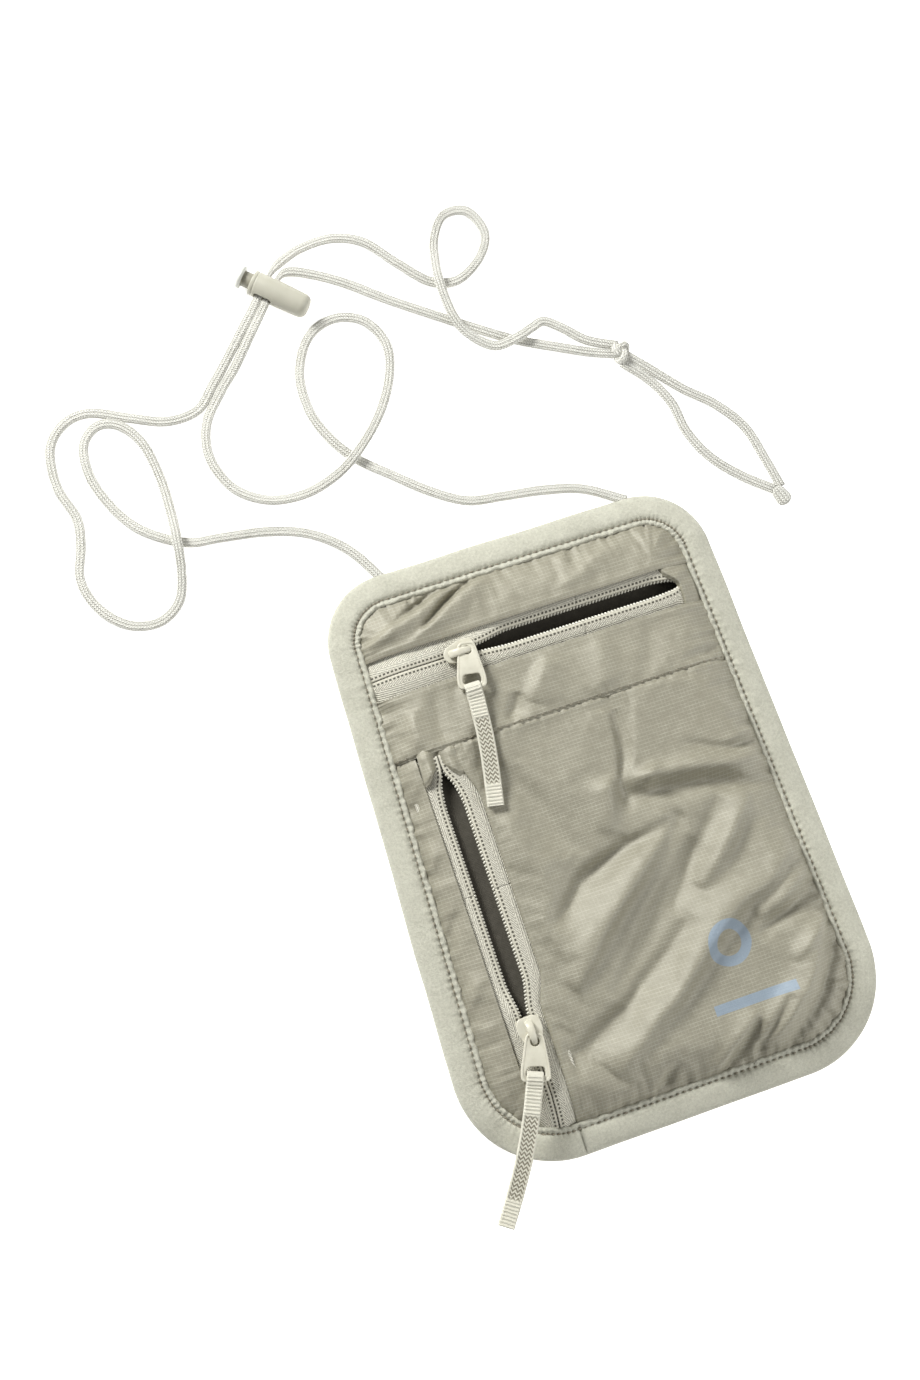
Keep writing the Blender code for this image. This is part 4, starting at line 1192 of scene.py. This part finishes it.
def build_binding(binding_cloth, thread):
    """The puffy binding: a groove where it is stitched, and a raised rim inside the groove."""
    path = outline(0, BINDING_STEP)
    count = len(path)
    ahead = unit(np.roll(path, -1, axis=0) - np.roll(path, 1, axis=0))
    ahead = np.concatenate([ahead, np.zeros((count, 1))], axis=1)
    up = np.tile([0.0, 0.0, 1.0], (count, 1))
    inward = np.cross(up, ahead)
    stitches = round(count * BINDING_STEP / STITCH_PITCH)
    pinch = 0.5 + 0.5 * np.cos(round_turn(count) * stitches)[:, None]
    ring_x, ring_y = (95 * each(round_turn(count))[:, None] for each in (np.cos, np.sin))

    def round_noise(size, seed):
        """Noise that closes on itself round the edge."""
        return noise_at(ring_x / size, ring_y / size, seed)

    aside, height = np.array(BINDING_PROFILE).T
    top = smooth((height - 2.4) / 1.5)
    outer = bell(aside, 1.2)
    puff = np.sin(np.clip(aside / 8, 0, 1) * math.pi) * top
    beside_groove, groove, rim = (
        bell(aside - at, width) * top for at, width in ((6.9, 1.3), (8.1, 0.75), (9.4, 0.7))
    )
    along = (np.arange(count) - np.hypot(*(path - np.array(BINDING_JOIN)).T).argmin()) * BINDING_STEP
    step = 0.3 * smooth((along + 0.2) / 0.4) * (1 - smooth((along - 1) / 9)) - 1.3 * bell(along, 0.45)
    asides = aside + (0.75 * round_noise(2.2, 3.0) + 0.3 * round_noise(5.5, 9.0)) * rim
    asides = asides + 0.3 * round_noise(22, 12.0) * outer
    heights = height - 0.5 * pinch * groove + 0.34 * round_noise(1.8, 8.0) * beside_groove
    heights = heights + (0.16 * (1 - pinch) + 0.6 * round_noise(1.9, 4.0) - 0.15) * rim
    heights = heights + (0.3 * round_noise(15, 5.0) + 0.2 * round_noise(5, 6.0)) * puff
    heights = heights + (step * (np.abs(along) < 20))[:, None] * top * (1 - rim)
    sections = np.stack([asides, heights], axis=-1)
    centres = np.concatenate([path, np.zeros((count, 1))], axis=1)
    band = sweep("binding_band", centres, inward, up, sections, binding_cloth, closed=True)
    attach(band, "pouch", "edge_binding", "binding_cloth")
    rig.padded(band, fill=0.6)

    rows = []
    for index in range(stitches):
        at = int((index + 0.5) / stitches * count) % count
        shift, size = noise_at(np.array([index * 0.7, index * 0.7 + 50]), 0, 7.0)
        for level, inset in ((3.98, 8.05), (0.42, 8.2)):
            centre = centres[at] + inward[at] * (inset + 0.35 * shift) + up[at] * level
            rows.append((centre, ahead[at], 1.35 + 0.5 * size, 0.34 + 0.12 * size))
    build_stitches("binding_stitches", rows, thread)


def build_stitches(name, rows, thread):
    """One mesh of short threads that dip at both ends, from (centre, direction, length, radius) rows."""
    vertices, faces, uvs = [], [], []
    steps, around = 5, 6
    long, wide = 0.3, 0.2  # of one face, in mm along and round the thread
    for centre, direction, length, radius in rows:
        level = np.cross([0, 0, 1], direction)
        start = len(vertices)
        for t in np.linspace(-1, 1, steps):
            ring = radius * max(math.sqrt(1 - t**4), 0.25)
            middle = centre + direction * t * length / 2 - np.array([0, 0, 0.22 * t * t])
            for angle in round_turn(around):
                vertices.append(middle + ring * (level * math.cos(angle) + np.array([0, 0, math.sin(angle)])))
        for i in range(steps - 1):
            here, there = start + i * around, start + (i + 1) * around
            for j in range(around):
                beside = (j + 1) % around
                faces.append((here + j, here + beside, there + beside, there + j))
                uvs += [(a * long, b * wide) for a, b in ((i, j), (i, j + 1), (i + 1, j + 1), (i + 1, j))]
        end = start + (steps - 1) * around
        faces += [tuple(range(start, start + around))[::-1], tuple(range(end, end + around))]
        uvs += [(0, 0)] * around * 2
    attach(outward(new_object(name, vertices, faces, thread, uvs)), "pouch", None, "binding_cloth")


# Zips: tapes, coils, end folds, sliders, tabs and ribbons


def lip_halves(line):
    """The stations of a lip's two halves, and where each turns from the pouch to the moving lip."""
    middle = (line.open + 1) / 2
    return (
        ("closed_half", (-line.closed - TAPE_IN_BINDING, middle), (-4, 17)),
        ("open_half", (middle, line.open + 0.8), (line.open, line.open - 16)),
    )


def build_lip(line, lip, tape, coil_plastic):
    """A tape with its coil under its edge, in two halves. Each half bends between the pouch and the lip."""
    for half, (low, high), (start, end) in lip_halves(line):
        s = np.linspace(low, high, round((high - low) / 0.7) + 1)
        blends = [Vector((*line.flat(at, 0), 0)) * MM for at in (start, end)]
        for obj, node, slot in (
            (build_tape(f"{lip.nodes}_tape_{half}", line, lip, s, tape), "tape", "zip_tape"),
            (build_coil(f"{lip.nodes}_coil_{half}", line, lip, low, high, coil_plastic), "coil", "zip_coil"),
        ):
            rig.blend(obj, "pouch", lip.body, start=blends[0], end=blends[1])
            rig.replaces(obj, f"{lip.nodes}_{node}")
            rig.slot(obj, slot)


def build_tape(name, line, lip, s, tape):
    """The tape's flat side shows from its edge to the panel's, and it runs on under the panel."""
    coil_at = lip.coil_at(line, s)
    edge = mix(0.1, coil_at - 0.4, line.wedge(s))[:, None]
    seam = lip.seam_at(line, s)
    under = (front_height(*line.flat(s, lip.side * seam)) - 0.95)[:, None]
    seam = seam[:, None]
    offsets = mix(edge, seam + TAPE_UNDER, np.linspace(0, 1, 22)[None])
    stations = np.repeat(s[:, None], offsets.shape[1], axis=1)
    x, y = line.flat(stations, lip.side * offsets)
    across = np.clip((offsets - edge) / (seam - edge), 0, 1)
    z = mix(lip.height(line, s, coil_at)[:, None], under, smooth(across)) + 0.25 * np.sin(across * math.pi)
    z += 0.10 * noise_at(x / 6, y / 6, 71.0)
    z = np.where(offsets > seam, np.minimum(z, front_height(x, y) - 0.9), z)
    piece = grid(name, np.stack([x, y, z], axis=-1), tape, np.stack([stations, offsets - edge], axis=-1))
    if (line.along[0] * line.across[1] - line.along[1] * line.across[0]) * lip.side > 0:
        piece.data.flip_normals()
    return thicken(piece, 0.45)


def build_coil(name, line, lip, low, high, coil_plastic):
    """A helix of loops at the tape's edge, which the tape's flat side hides where the zip is closed."""
    per_turn = 12
    step = np.arange(round((high - low) / COIL_PITCH) * per_turn + 1)
    s = low + (high - low) * step / step[-1]
    angle = step / per_turn * 2 * math.pi
    opened, coil_at = line.wedge(s), lip.coil_at(line, s)
    x, y = line.flat(s, lip.side * (mix(COIL_REST, coil_at - 0.05, opened) - 0.78 * np.cos(angle)))
    z = lip.height(line, s, coil_at) - mix(1.35, 0.85, opened) + 0.45 * np.sin(angle)
    points = np.stack([x, y, z], axis=-1)
    sections = np.repeat(rounded_section(0.3, 0.3, 7, 1.0)[None], len(points), axis=0)
    return sweep(name, points, *path_frame(points), sections, coil_plastic)


def build_end_folds(cloth):
    """The turned fabric at each zip's open end: a rolled flap at the top, and a small garage at the side."""
    u, v = np.meshgrid(np.linspace(0, 1, 40), np.linspace(0, 1, 36))

    def rolled(name, node, x, y, z, seed):
        z = z + 0.3 * noise_at(x / 2.2, y / 2.2, seed)
        attach(thicken(grid(name, np.stack([x, y, z], axis=-1), cloth), 0.6), "pouch", node, "ripstop_cloth")

    x = mix(46.5 - 5 * smooth((v - 0.45) / 0.55), 53.9, u)
    y = mix(54.6, 68, v)
    raised = 1.5 * np.sin(v * math.pi) ** 0.6 + 0.7 * bell(v - 0.62 - 0.25 * u, 0.1) * (1 - u)
    settled = smooth((1 - u) / 0.3)
    z = front_height(x, y) - 0.6 + (0.3 + raised) * settled - 1.6 * (1 - smooth(u / 0.14))
    rolled("top_zip_end_fold", "top_zip_end_flap", x, y, z, 73.0)

    x = mix(-48 + 0.5 * v, -33.8 - 1.2 * v, u)
    y = mix(30.5 - 5 * smooth(np.abs(u - 0.43) / 0.45), 36.8, v)
    rolls = 2.3 * bell(u - 0.2, 0.12) + 1.5 * bell(u - 0.7 - 0.1 * v, 0.13) - 1.6 * bell(u - 0.43, 0.09)
    sides = -0.9 * (1 - smooth(np.minimum(u, 1 - u) / 0.08)) - (1 - smooth(v / 0.16))
    z = 10.9 + rolls * (1 - 0.6 * v) + sides - 0.9 * smooth((v - 0.75) / 0.25)
    rolled("side_zip_end_fold", "side_zip_garage", x, y, z, 79.0)


def build_slider(name, node, body, line, metal, hooked_back=False):
    """A slider: a shield-shaped plate above and below the coils, a post, side flanges and a hooked bail."""
    length, width = 5.0, 3.8

    def add(outer, thickness, bevel, z):
        layer = plate("layer", outer, [], thickness, bevel, metal)
        combined(slider, place(layer, Matrix.Translation((0, 0, z))))

    half_shield = [(length, width - 1), (length - 2, width), (0.6, width), (-length + 1, 2.3), (-length, 1)]
    other_half = [(x, -y) for x, y in half_shield[:0:-1]]
    shield = rounded_polygon([(length, -width + 1), *half_shield, *other_half], 1.8)
    slider = place(plate(name, shield, [], 1.15, 0.3, metal), Matrix.Translation((0, 0, 1.65)))
    add(shield, 1.0, 0.25, -1.6)
    add(rounded_polygon([(1.6, -0.6), (3.4, -1), (3.4, 1), (1.6, 0.6)], 0.3), 3.4, 0.1, 0)
    for side in (1, -1):
        flange = [(-length + 1.5, 2.0), (1.0, 3.15), (length - 0.4, 3.15), (length - 0.4, 3.7), (0.8, 3.7),
                  (-length + 1.2, 2.55)]
        add(rounded_polygon([(x, y * side) for x, y in flange], 0.15)[::side], 0.9, 0.1, 0.95)
    angles = np.linspace(0, math.pi, 30)
    bend = np.stack([0.2 - 3.3 * np.cos(angles), 0 * angles, 1.7 + 2.7 * np.sin(angles) ** 0.75], axis=1)
    sideways = np.tile([0.0, 1.0, 0.0], (len(bend), 1))
    wide = mix(1.15, 0.75, smooth(angles / math.pi)) + 0.15 * np.sin(angles)
    wide = wide[::-1] if hooked_back else wide
    sections = np.stack([rounded_section(half, 0.55, 16, 0.85) for half in wide])
    above = np.cross(unit(np.gradient(bend, axis=0)), sideways)
    combined(slider, sweep("bail", bend, sideways, above, sections, metal))
    soften(slider, 0.12)
    turn = Matrix.Rotation(math.atan2(line.along[1], line.along[0]), 4, "Z")
    attach(place(slider, Matrix.Translation(line.slider) @ turn), body, node, "lacquered_metal")


def tab_piece(name, node, body, joint, hole, end, metal, swing=0.0, dip=0.0, level=0.0):
    """A pull tab along -Y from its hole: a narrow rounded head, a wide foot and a slot there for the ribbon.
    It has a raised rim, sits level above the joint, and dips there at its head."""
    head, foot, taper = 2.5, 4.4, 3.4 - end
    corners = [(-foot, -end), (foot, -end), (foot, taper), (head, 2.6), (-head, 2.6), (-foot, taper)]
    outer = rounded_polygon(corners, 1.9)
    low = 1.35 - end
    slot = rounded_polygon([(-3, low), (3, low), (2.7, low + 3.1), (-2.7, low + 3.1)], 1.3)
    eye = [(1.35 * math.cos(angle), 1.35 * math.sin(angle)) for angle in round_turn(24)]
    tab = plate(name, outer, [eye, slot], 1.1, 0.26, metal)
    middle = 1.3 - end / 2
    inner = [(x * 0.84, (y - middle) * 0.9 + middle) for x, y in outer]
    combined(tab, plate("rim", outer, [inner], 1.5, 0.2, metal))
    for vertex in tab.data.vertices:
        vertex.co.z += (level - dip * float(1 - smooth((2 - vertex.co.y / MM) / 6))) * MM
    tab.data.set_sharp_from_angle(angle=math.radians(35))
    place(tab, Matrix.Translation(Vector(joint) + Vector(hole)) @ Matrix.Rotation(swing, 4, "Z"))
    attach(tab, body, node, "lacquered_metal")


def ribbon_piece(name, node, body, joint, route, droop, ribbon_cloth):
    """A ribbon doubled round the tab's bar: ribbed near both ends, with raised selvedges and an open weave
    between. Its upper face has the full relief, and the open_weave attribute marks the open part."""
    half_wide, layer, loop, step = 2.55, 0.42, 1.35, 0.22
    flat = smooth_route([(x, y, 0.0) for x, y in route], step)
    run = run_along(flat)
    rise = np.array([0.0, 0.0, 1.0])
    fallen = flat - rise * (droop * smooth(run / run[-1]) ** 1.2)[:, None]
    apart = rise * mix(loop, layer + 0.05, smooth(run / 4))[:, None] * 0.95
    bend = np.linspace(-math.pi / 2, math.pi / 2, 15)[1:-1, None]
    arc = flat[0] + loop * 0.95 * (unit(flat[0] - flat[1]) * np.cos(bend) + rise * np.sin(bend))
    centres = np.concatenate([(fallen - apart)[::-1], arc, fallen + apart])
    far = np.concatenate([run[::-1], np.zeros(len(bend)), run])[:, None] / run[-1]
    on_top = (np.arange(len(centres)) >= len(run) + len(bend))[:, None]
    aside = np.cross(rise, unit(np.gradient(flat, axis=0)))
    sideways = np.concatenate([aside[::-1], np.repeat(aside[:1], len(bend), axis=0), aside])
    above = np.cross(sideways, unit(np.gradient(centres, axis=0)))

    across = np.linspace(-1, 1, 24)
    ribbed = np.maximum(1 - smooth((far - 0.24) / 0.04), smooth((far - 0.80) / 0.03))
    turn = np.arange(len(centres))[:, None] * step * 2 * math.pi
    weave = np.sin(turn / 1.9 + across * 3.2) * np.sin(turn / 1.27 - across * 4.1)
    inner = np.abs(across) < 0.74
    relief = ribbed * (0.22 + 0.16 * np.sin(turn / 1.05)) + (1 - ribbed) * inner * (0.17 * weave - 0.1)
    relief = relief + 0.17 * bell(np.abs(across) - 0.84, 0.12)
    round_off = np.sqrt(1 - across**6)
    first = (layer / 2 + relief * mix(0.35, 1, on_top)) * round_off
    second = np.tile(-layer / 2 * round_off[::-1], (len(centres), 1))[:, 1:-1]
    widths = np.tile(np.concatenate([across, across[-2:0:-1]]) * half_wide, (len(centres), 1))
    sections = np.stack([widths, np.concatenate([first, second], axis=1)], axis=-1)
    obj = sweep(name, centres, sideways, -above if above[-1][2] < 0 else above, sections, ribbon_cloth)
    loose = np.zeros(sections.shape[:2], np.float32)
    loose[:, : len(across)] = (1 - ribbed) * inner
    obj.data.attributes.new("open_weave", "FLOAT", "POINT").data.foreach_set("value", loose.ravel())
    attach(place(obj, Matrix.Translation(joint)), body, node, "ribbon_weave")


# Cord lock and cords


def lock_matrix():
    sideways = Vector((0, 0, 1)).cross(LOCK_DIRECTION)
    turn = Matrix((LOCK_DIRECTION, sideways, Vector((0, 0, 1)))).transposed()
    return Matrix.Translation(LOCK_MOUTH) @ turn.to_4x4()


def lock_piece(name, node, body, profile, opening, soft_edge, plastic, slot):
    """A turned part of the lock, with an opening right across it for the cords where one is given."""
    obj = turned(name, profile, plastic)
    if opening:
        cutter = plate("cutter", opening, [], 10, 0.01, plastic)
        combined(obj, place(cutter, Matrix.Rotation(math.pi / 2, 4, "X")), "DIFFERENCE")
        soften(obj, soft_edge)
    attach(place(obj, lock_matrix()), body, node, slot)


def build_lock():
    radius, end, bore = LOCK_RADIUS, LOCK_LENGTH, LOCK_BORE
    rounding = np.linspace(0, math.pi / 2, 9)
    dome = [(end - 2.6 + 2.6 * math.sin(a), radius - 2.05 + 1.9 * math.cos(a)) for a in rounding]
    lips = [(0.1, bore), (0, bore + 0.1), (0, radius - 0.35), (0.12, radius - 0.1), (0.35, radius)]
    groove = [(1.1, radius), (1.25, radius - 0.12), (1.45, radius - 0.12), (1.6, radius), (9, radius)]
    barrel = [(LOCK_BORE_DEPTH, 0), (LOCK_BORE_DEPTH, bore), *lips, *groove, *dome, (end, 0)]
    cords_through = rounded_box(*LOCK_SLOT, -LOCK_SLOT_HALF_HEIGHT, LOCK_SLOT_HALF_HEIGHT, 1.2)
    plastic = plastic_material("barrel_plastic", (0.40, 0.385, 0.31), (0.48, 0.465, 0.385), 0.4)
    lock_piece("toggle_barrel_body", "toggle_barrel", "toggle", barrel, cords_through, 0.15, plastic,
               "barrel_plastic")

    cap = [
        (-1.5, 0), (-1.45, 1.8), (-1.2, 2.9), (-0.75, 3.6), (-0.1, 3.8), (0.3, 3.6), (0.45, 2.8), (0.45, 0),
    ]
    cap = [(along - PLUNGER_OUT, out) for along, out in cap]
    plastic = plastic_material("button_plastic", (0.52, 0.52, 0.47), (0.62, 0.62, 0.57), 0.3)
    lock_piece("toggle_flange", None, "plunger", cap, None, 0, plastic, "button_plastic")

    stem = [(0.4 - PLUNGER_OUT, 0), (0.4 - PLUNGER_OUT, 2.5), (8.7, 2.62), (9.0, 2.3), (9.0, 0)]
    # Painted shade: the stem is the flange's pale plastic, coloured darker for the shade it sits in.
    plastic = plastic_material("stem_plastic", (0.25, 0.235, 0.18), (0.33, 0.315, 0.25), 0.4)
    lock_piece("toggle_stem", "toggle_plunger", "plunger", stem, rounded_box(-0.2, 8.1, -1.8, 1.8, 1.3), 0.12,
               plastic, "button_plastic")


def cord_path(route, tucks):
    """The route, run on at each end into the binding, the knot or the fused tip."""
    points = [np.array((x, y, z[0] if z else CORD_LIE), float) for x, y, *z in route]
    for end, beside, tuck in ((0, 1, tucks[0]), (-1, -2, tucks[1])):
        points[end] = points[end] + unit(points[end] - points[beside]) * tuck
    return smooth_route(points, CORD_STEP)


def cord_piece(name, node, route, tucks, seed, cord_cloth):
    """A soft knitted tube, flattened where it lies, with a lengthwise hollow that comes and goes. It is
    round inside the lock and pinched where it goes into it. Returns the piece, its path and its length."""
    points = cord_path(route, tucks)
    run = np.arange(len(points)) * CORD_STEP

    def near_lock(aside, reach):
        at = np.array(lock_matrix() @ Vector((sum(LOCK_SLOT) / 2, aside, 0)))
        return bell(np.linalg.norm(points - at, axis=1), reach)

    def sway(size, shift):
        return noise_at(run / size, 0, seed + shift)

    held, pinched = near_lock(0, 5), near_lock(4.6, 3.2)
    half_wide = mix(CORD_WIDTH / 2 * (1 + 0.07 * sway(17, 0)), 1.1, held)
    half_wide = mix(half_wide, 0.8, pinched)[:, None]
    half_thick = mix(CORD_THICKNESS / 2 * (1 + 0.08 * sway(13, 2)), 1.05, held)[:, None]
    dent = (0.34 * smooth(0.55 + 0.9 * sway(22, 8)) * (1 - held))[:, None]
    sideways, up = path_frame(points, 0.42 * sway(31, 5) * (1 - held))
    across, level = rounded_section(1, 1, 20, 0.85).T
    hollow = bell(across, 0.34) * np.sign(level)
    sections = np.stack([across * half_wide, level * half_thick - hollow * dent], axis=-1)
    lowered = points - np.array([0, 0, 0.15])
    obj = attach(sweep(name, lowered, sideways, up, sections, cord_cloth), "pouch", node, "braided_cord")
    return obj, lowered * MM, float(run_along(points)[-1]) * MM


def build_cords(cord_cloth):
    knot = knot_piece(cord_cloth)
    tip = tip_piece(cord_cloth)
    for name, node, route, tucks, seed, far_end, ending in (
        ("neck_cord_left", "cord_left", LEFT_ROUTE, (4, 2.6), 101.0, "knot", knot),
        ("neck_cord_right", "cord_right", RIGHT_ROUTE, (4, 2.8), 131.0, "knot", knot),
        ("cord_end_upper", "cord_tail_upper", UPPER_TAIL_ROUTE, (2.6, 1.6), 151.0, "fitting", tip),
        ("cord_end_lower", "cord_tail_lower", LOWER_TAIL_ROUTE, (2.8, 1.6), 171.0, "fitting", tip),
    ):
        obj, path, length = cord_piece(name, node, route, tucks, seed, cord_cloth)
        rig.cord(
            obj, exit=path[0], length=length, diameter=CORD_WIDTH * MM, far_end=far_end, stiffness="limp",
            lay="loose", path=path, with_pieces=[ending],
        )


def knot_piece(cord_cloth):
    """Both strands tied together in one overhand knot: a trefoil round a filled core."""
    t = np.linspace(0, 2 * math.pi, 150)[:-1]
    loop = np.stack([np.sin(t) + 2 * np.sin(2 * t), np.cos(t) - 2 * np.cos(2 * t), -np.sin(3 * t)], axis=1)
    loop *= np.array([0.62, 0.95, 1.0])
    ahead = unit(np.roll(loop, -1, axis=0) - np.roll(loop, 1, axis=0))
    level = unit(np.cross(ahead, loop))
    sections = np.repeat(rounded_section(1.15, 1.25, 16, 0.9)[None], len(loop), axis=0)
    obj = sweep("overhand_knot", loop, level, np.cross(level, ahead), sections, cord_cloth, closed=True)
    sideways, up = (np.tile(each, (8, 1)) for each in ([0.0, 1, 0], [0.0, 0, 1]))
    swells = np.sqrt(1 - np.linspace(-0.95, 0.95, 8) ** 2)
    sections = np.stack([rounded_section(1.7 * swell, 1.3 * swell, 16) for swell in swells])
    core = sweep("core", np.linspace([-2.2, 0, 0], [2.2, 0, 0], 8), sideways, up, sections, cord_cloth)
    bm = bmesh.new()
    bm.from_mesh(obj.data)
    bm.from_mesh(core.data)
    bm.to_mesh(obj.data)
    bm.free()
    bpy.data.objects.remove(core)
    place(obj, Matrix.Translation(KNOT_CENTRE) @ Matrix.Rotation(KNOT_TURN, 4, "Z"))
    return attach(obj, "pouch", "cord_knot", "braided_cord")


def tip_piece(cord_cloth):
    """The two ends fused together and pressed flat."""
    t = np.linspace(0, 1, 16)
    centres = np.array([TIP_CENTRE]) + np.stack([-1.0 + 2.4 * t, 3.0 - 6.2 * t, -0.2 - 0.3 * t], axis=1)
    wide = mix(2.1, 2.6, smooth(t * 1.3)) * np.sqrt(np.clip(1 - (2 * t - 1) ** 4, 0.03, 1))
    thick = mix(1.6, 1.5, t) * np.minimum(1, wide / 1.6)
    sections = np.stack([rounded_section(w, h, 18, 0.95) for w, h in zip(wide, thick)])
    obj = sweep("fused_tip", centres, *path_frame(centres), sections, cord_cloth)
    return attach(obj, "pouch", "cord_tip", "braided_cord")


# Stage


def build_stage():
    """The photograph's camera, a plain pale floor and soft light from the upper left."""
    camera = bpy.data.cameras.new("camera")
    camera.lens = 52.17
    camera.clip_start, camera.clip_end = 0.01, 20
    obj = add_object("camera", camera)
    obj.location = (-0.10884, -0.01347, 0.60632)
    obj.rotation_euler = [math.radians(angle) for angle in (8.22, -5.322, -18.703)]
    bpy.context.scene.camera = obj

    shader = Shader("pale_floor", roughness=0.9, specular_ior_level=0.1)
    at, *_ = shader.position()
    colour = shader.blend(shader.noise(at, 0.02), (0.90, 0.90, 0.895), (0.93, 0.93, 0.925))
    shader.finish(colour, shader.noise(at, 0.5), 0.01, 0.1)
    shader.bsdf.inputs["Emission Color"].default_value = (1, 1, 1, 1)
    shader.bsdf.inputs["Emission Strength"].default_value = 0.7
    reach, below = 4000, -0.1
    corners = [(x, y, below) for x, y in ((-reach, -reach), (reach, -reach), (reach, reach), (-reach, reach))]
    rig.stage(new_object("floor", corners, [(0, 1, 2, 3)], shader.material))

    for name, place_at, size, power in (
        ("key", (-0.58, 1.02, 0.72), 0.4, 27),
        ("fill", (1.35, -0.8, 1.1), 1.5, 26),
    ):
        light = bpy.data.lights.new(name, "AREA")
        light.size = size
        light.energy = power
        light.color = (0.99, 1.0, 1.0)
        lamp = add_object(name, light)
        lamp.location = place_at
        aim = Vector((0, 0.03, 0)) - Vector(place_at)
        lamp.rotation_euler = aim.to_track_quat("-Z", "Y").to_euler()
    world = bpy.data.worlds.new("studio")
    world.use_nodes = True
    background = world.node_tree.nodes["Background"]
    background.inputs["Color"].default_value = (1, 1, 1, 1)
    background.inputs["Strength"].default_value = 0.26
    bpy.context.scene.world = world
    bpy.context.scene.view_settings.view_transform = "Standard"


for obj in list(bpy.data.objects):
    bpy.data.objects.remove(obj)
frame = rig.load()
cad_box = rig.bounds()
build_stage()
build_cords(cord_material())

ripstop = ripstop_material()
for build in (build_front, build_side, build_header, build_top, build_back):
    build(ripstop)
build_lining(shaded_lining_material())
thread = shaded_thread_material()
build_binding(binding_material(), thread)
build_header_stitches(thread)
tape, coil_plastic = tape_material(), coil_material()
for line, lip in ((TOP_ZIP, UPPER_LIP), (TOP_ZIP, LOWER_LIP), (SIDE_ZIP, RIGHT_LIP), (SIDE_ZIP, LEFT_LIP)):
    build_lip(line, lip, tape, coil_plastic)
build_end_folds(ripstop)

metal, ribbon_cloth = metal_material(), ribbon_material()
build_slider("top_zip_slider", "top_slider", "top_slider", TOP_ZIP, metal)
build_slider("side_zip_slider", "side_slider", "side_slider", SIDE_ZIP, metal, hooked_back=True)
tab_piece("top_tab_plate", "top_pull_tab", "top_tab", (-25, 61.5, 13.2), (2.1, -0.2, 0), 11.9, metal,
          swing=TOP_TAB_SWING, dip=1.1)
tab_piece("side_tab_plate", "side_pull_tab", "side_tab", (-41.5, -53, 12.5), (0, -2.6, 0), 11.6, metal,
          swing=SIDE_TAB_SWING, level=1.0)
ribbon_piece(
    "top_ribbon_strip", "top_pull_ribbon", "top_ribbon", (-25, 49.85, 13.2),
    [(0, 0), (0, -3), (-0.3, -7), (-0.9, -14), (-1.9, -21), (-3.2, -28), (-4.8, -36)], 0.6, ribbon_cloth,
)
ribbon_piece(
    "side_ribbon_strip", "side_pull_ribbon", "side_ribbon", (-41.5, -65.12, 13.5),
    [(-3.2, 0), (-4.4, -3), (-7.1, -9), (-10.6, -16), (-14.8, -23.5), (-20, -31.5), (-25, -38.5)], 3.5,
    ribbon_cloth,
)
build_lock()
spring = frame["nodes"]["toggle_spring"].data
spring.materials.clear()
spring.materials.append(steel_material())

with open("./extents.json", "w") as file:
    json.dump({"cad": [list(corner) for corner in cad_box], "visual": [list(corner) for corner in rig.bounds()]}, file)
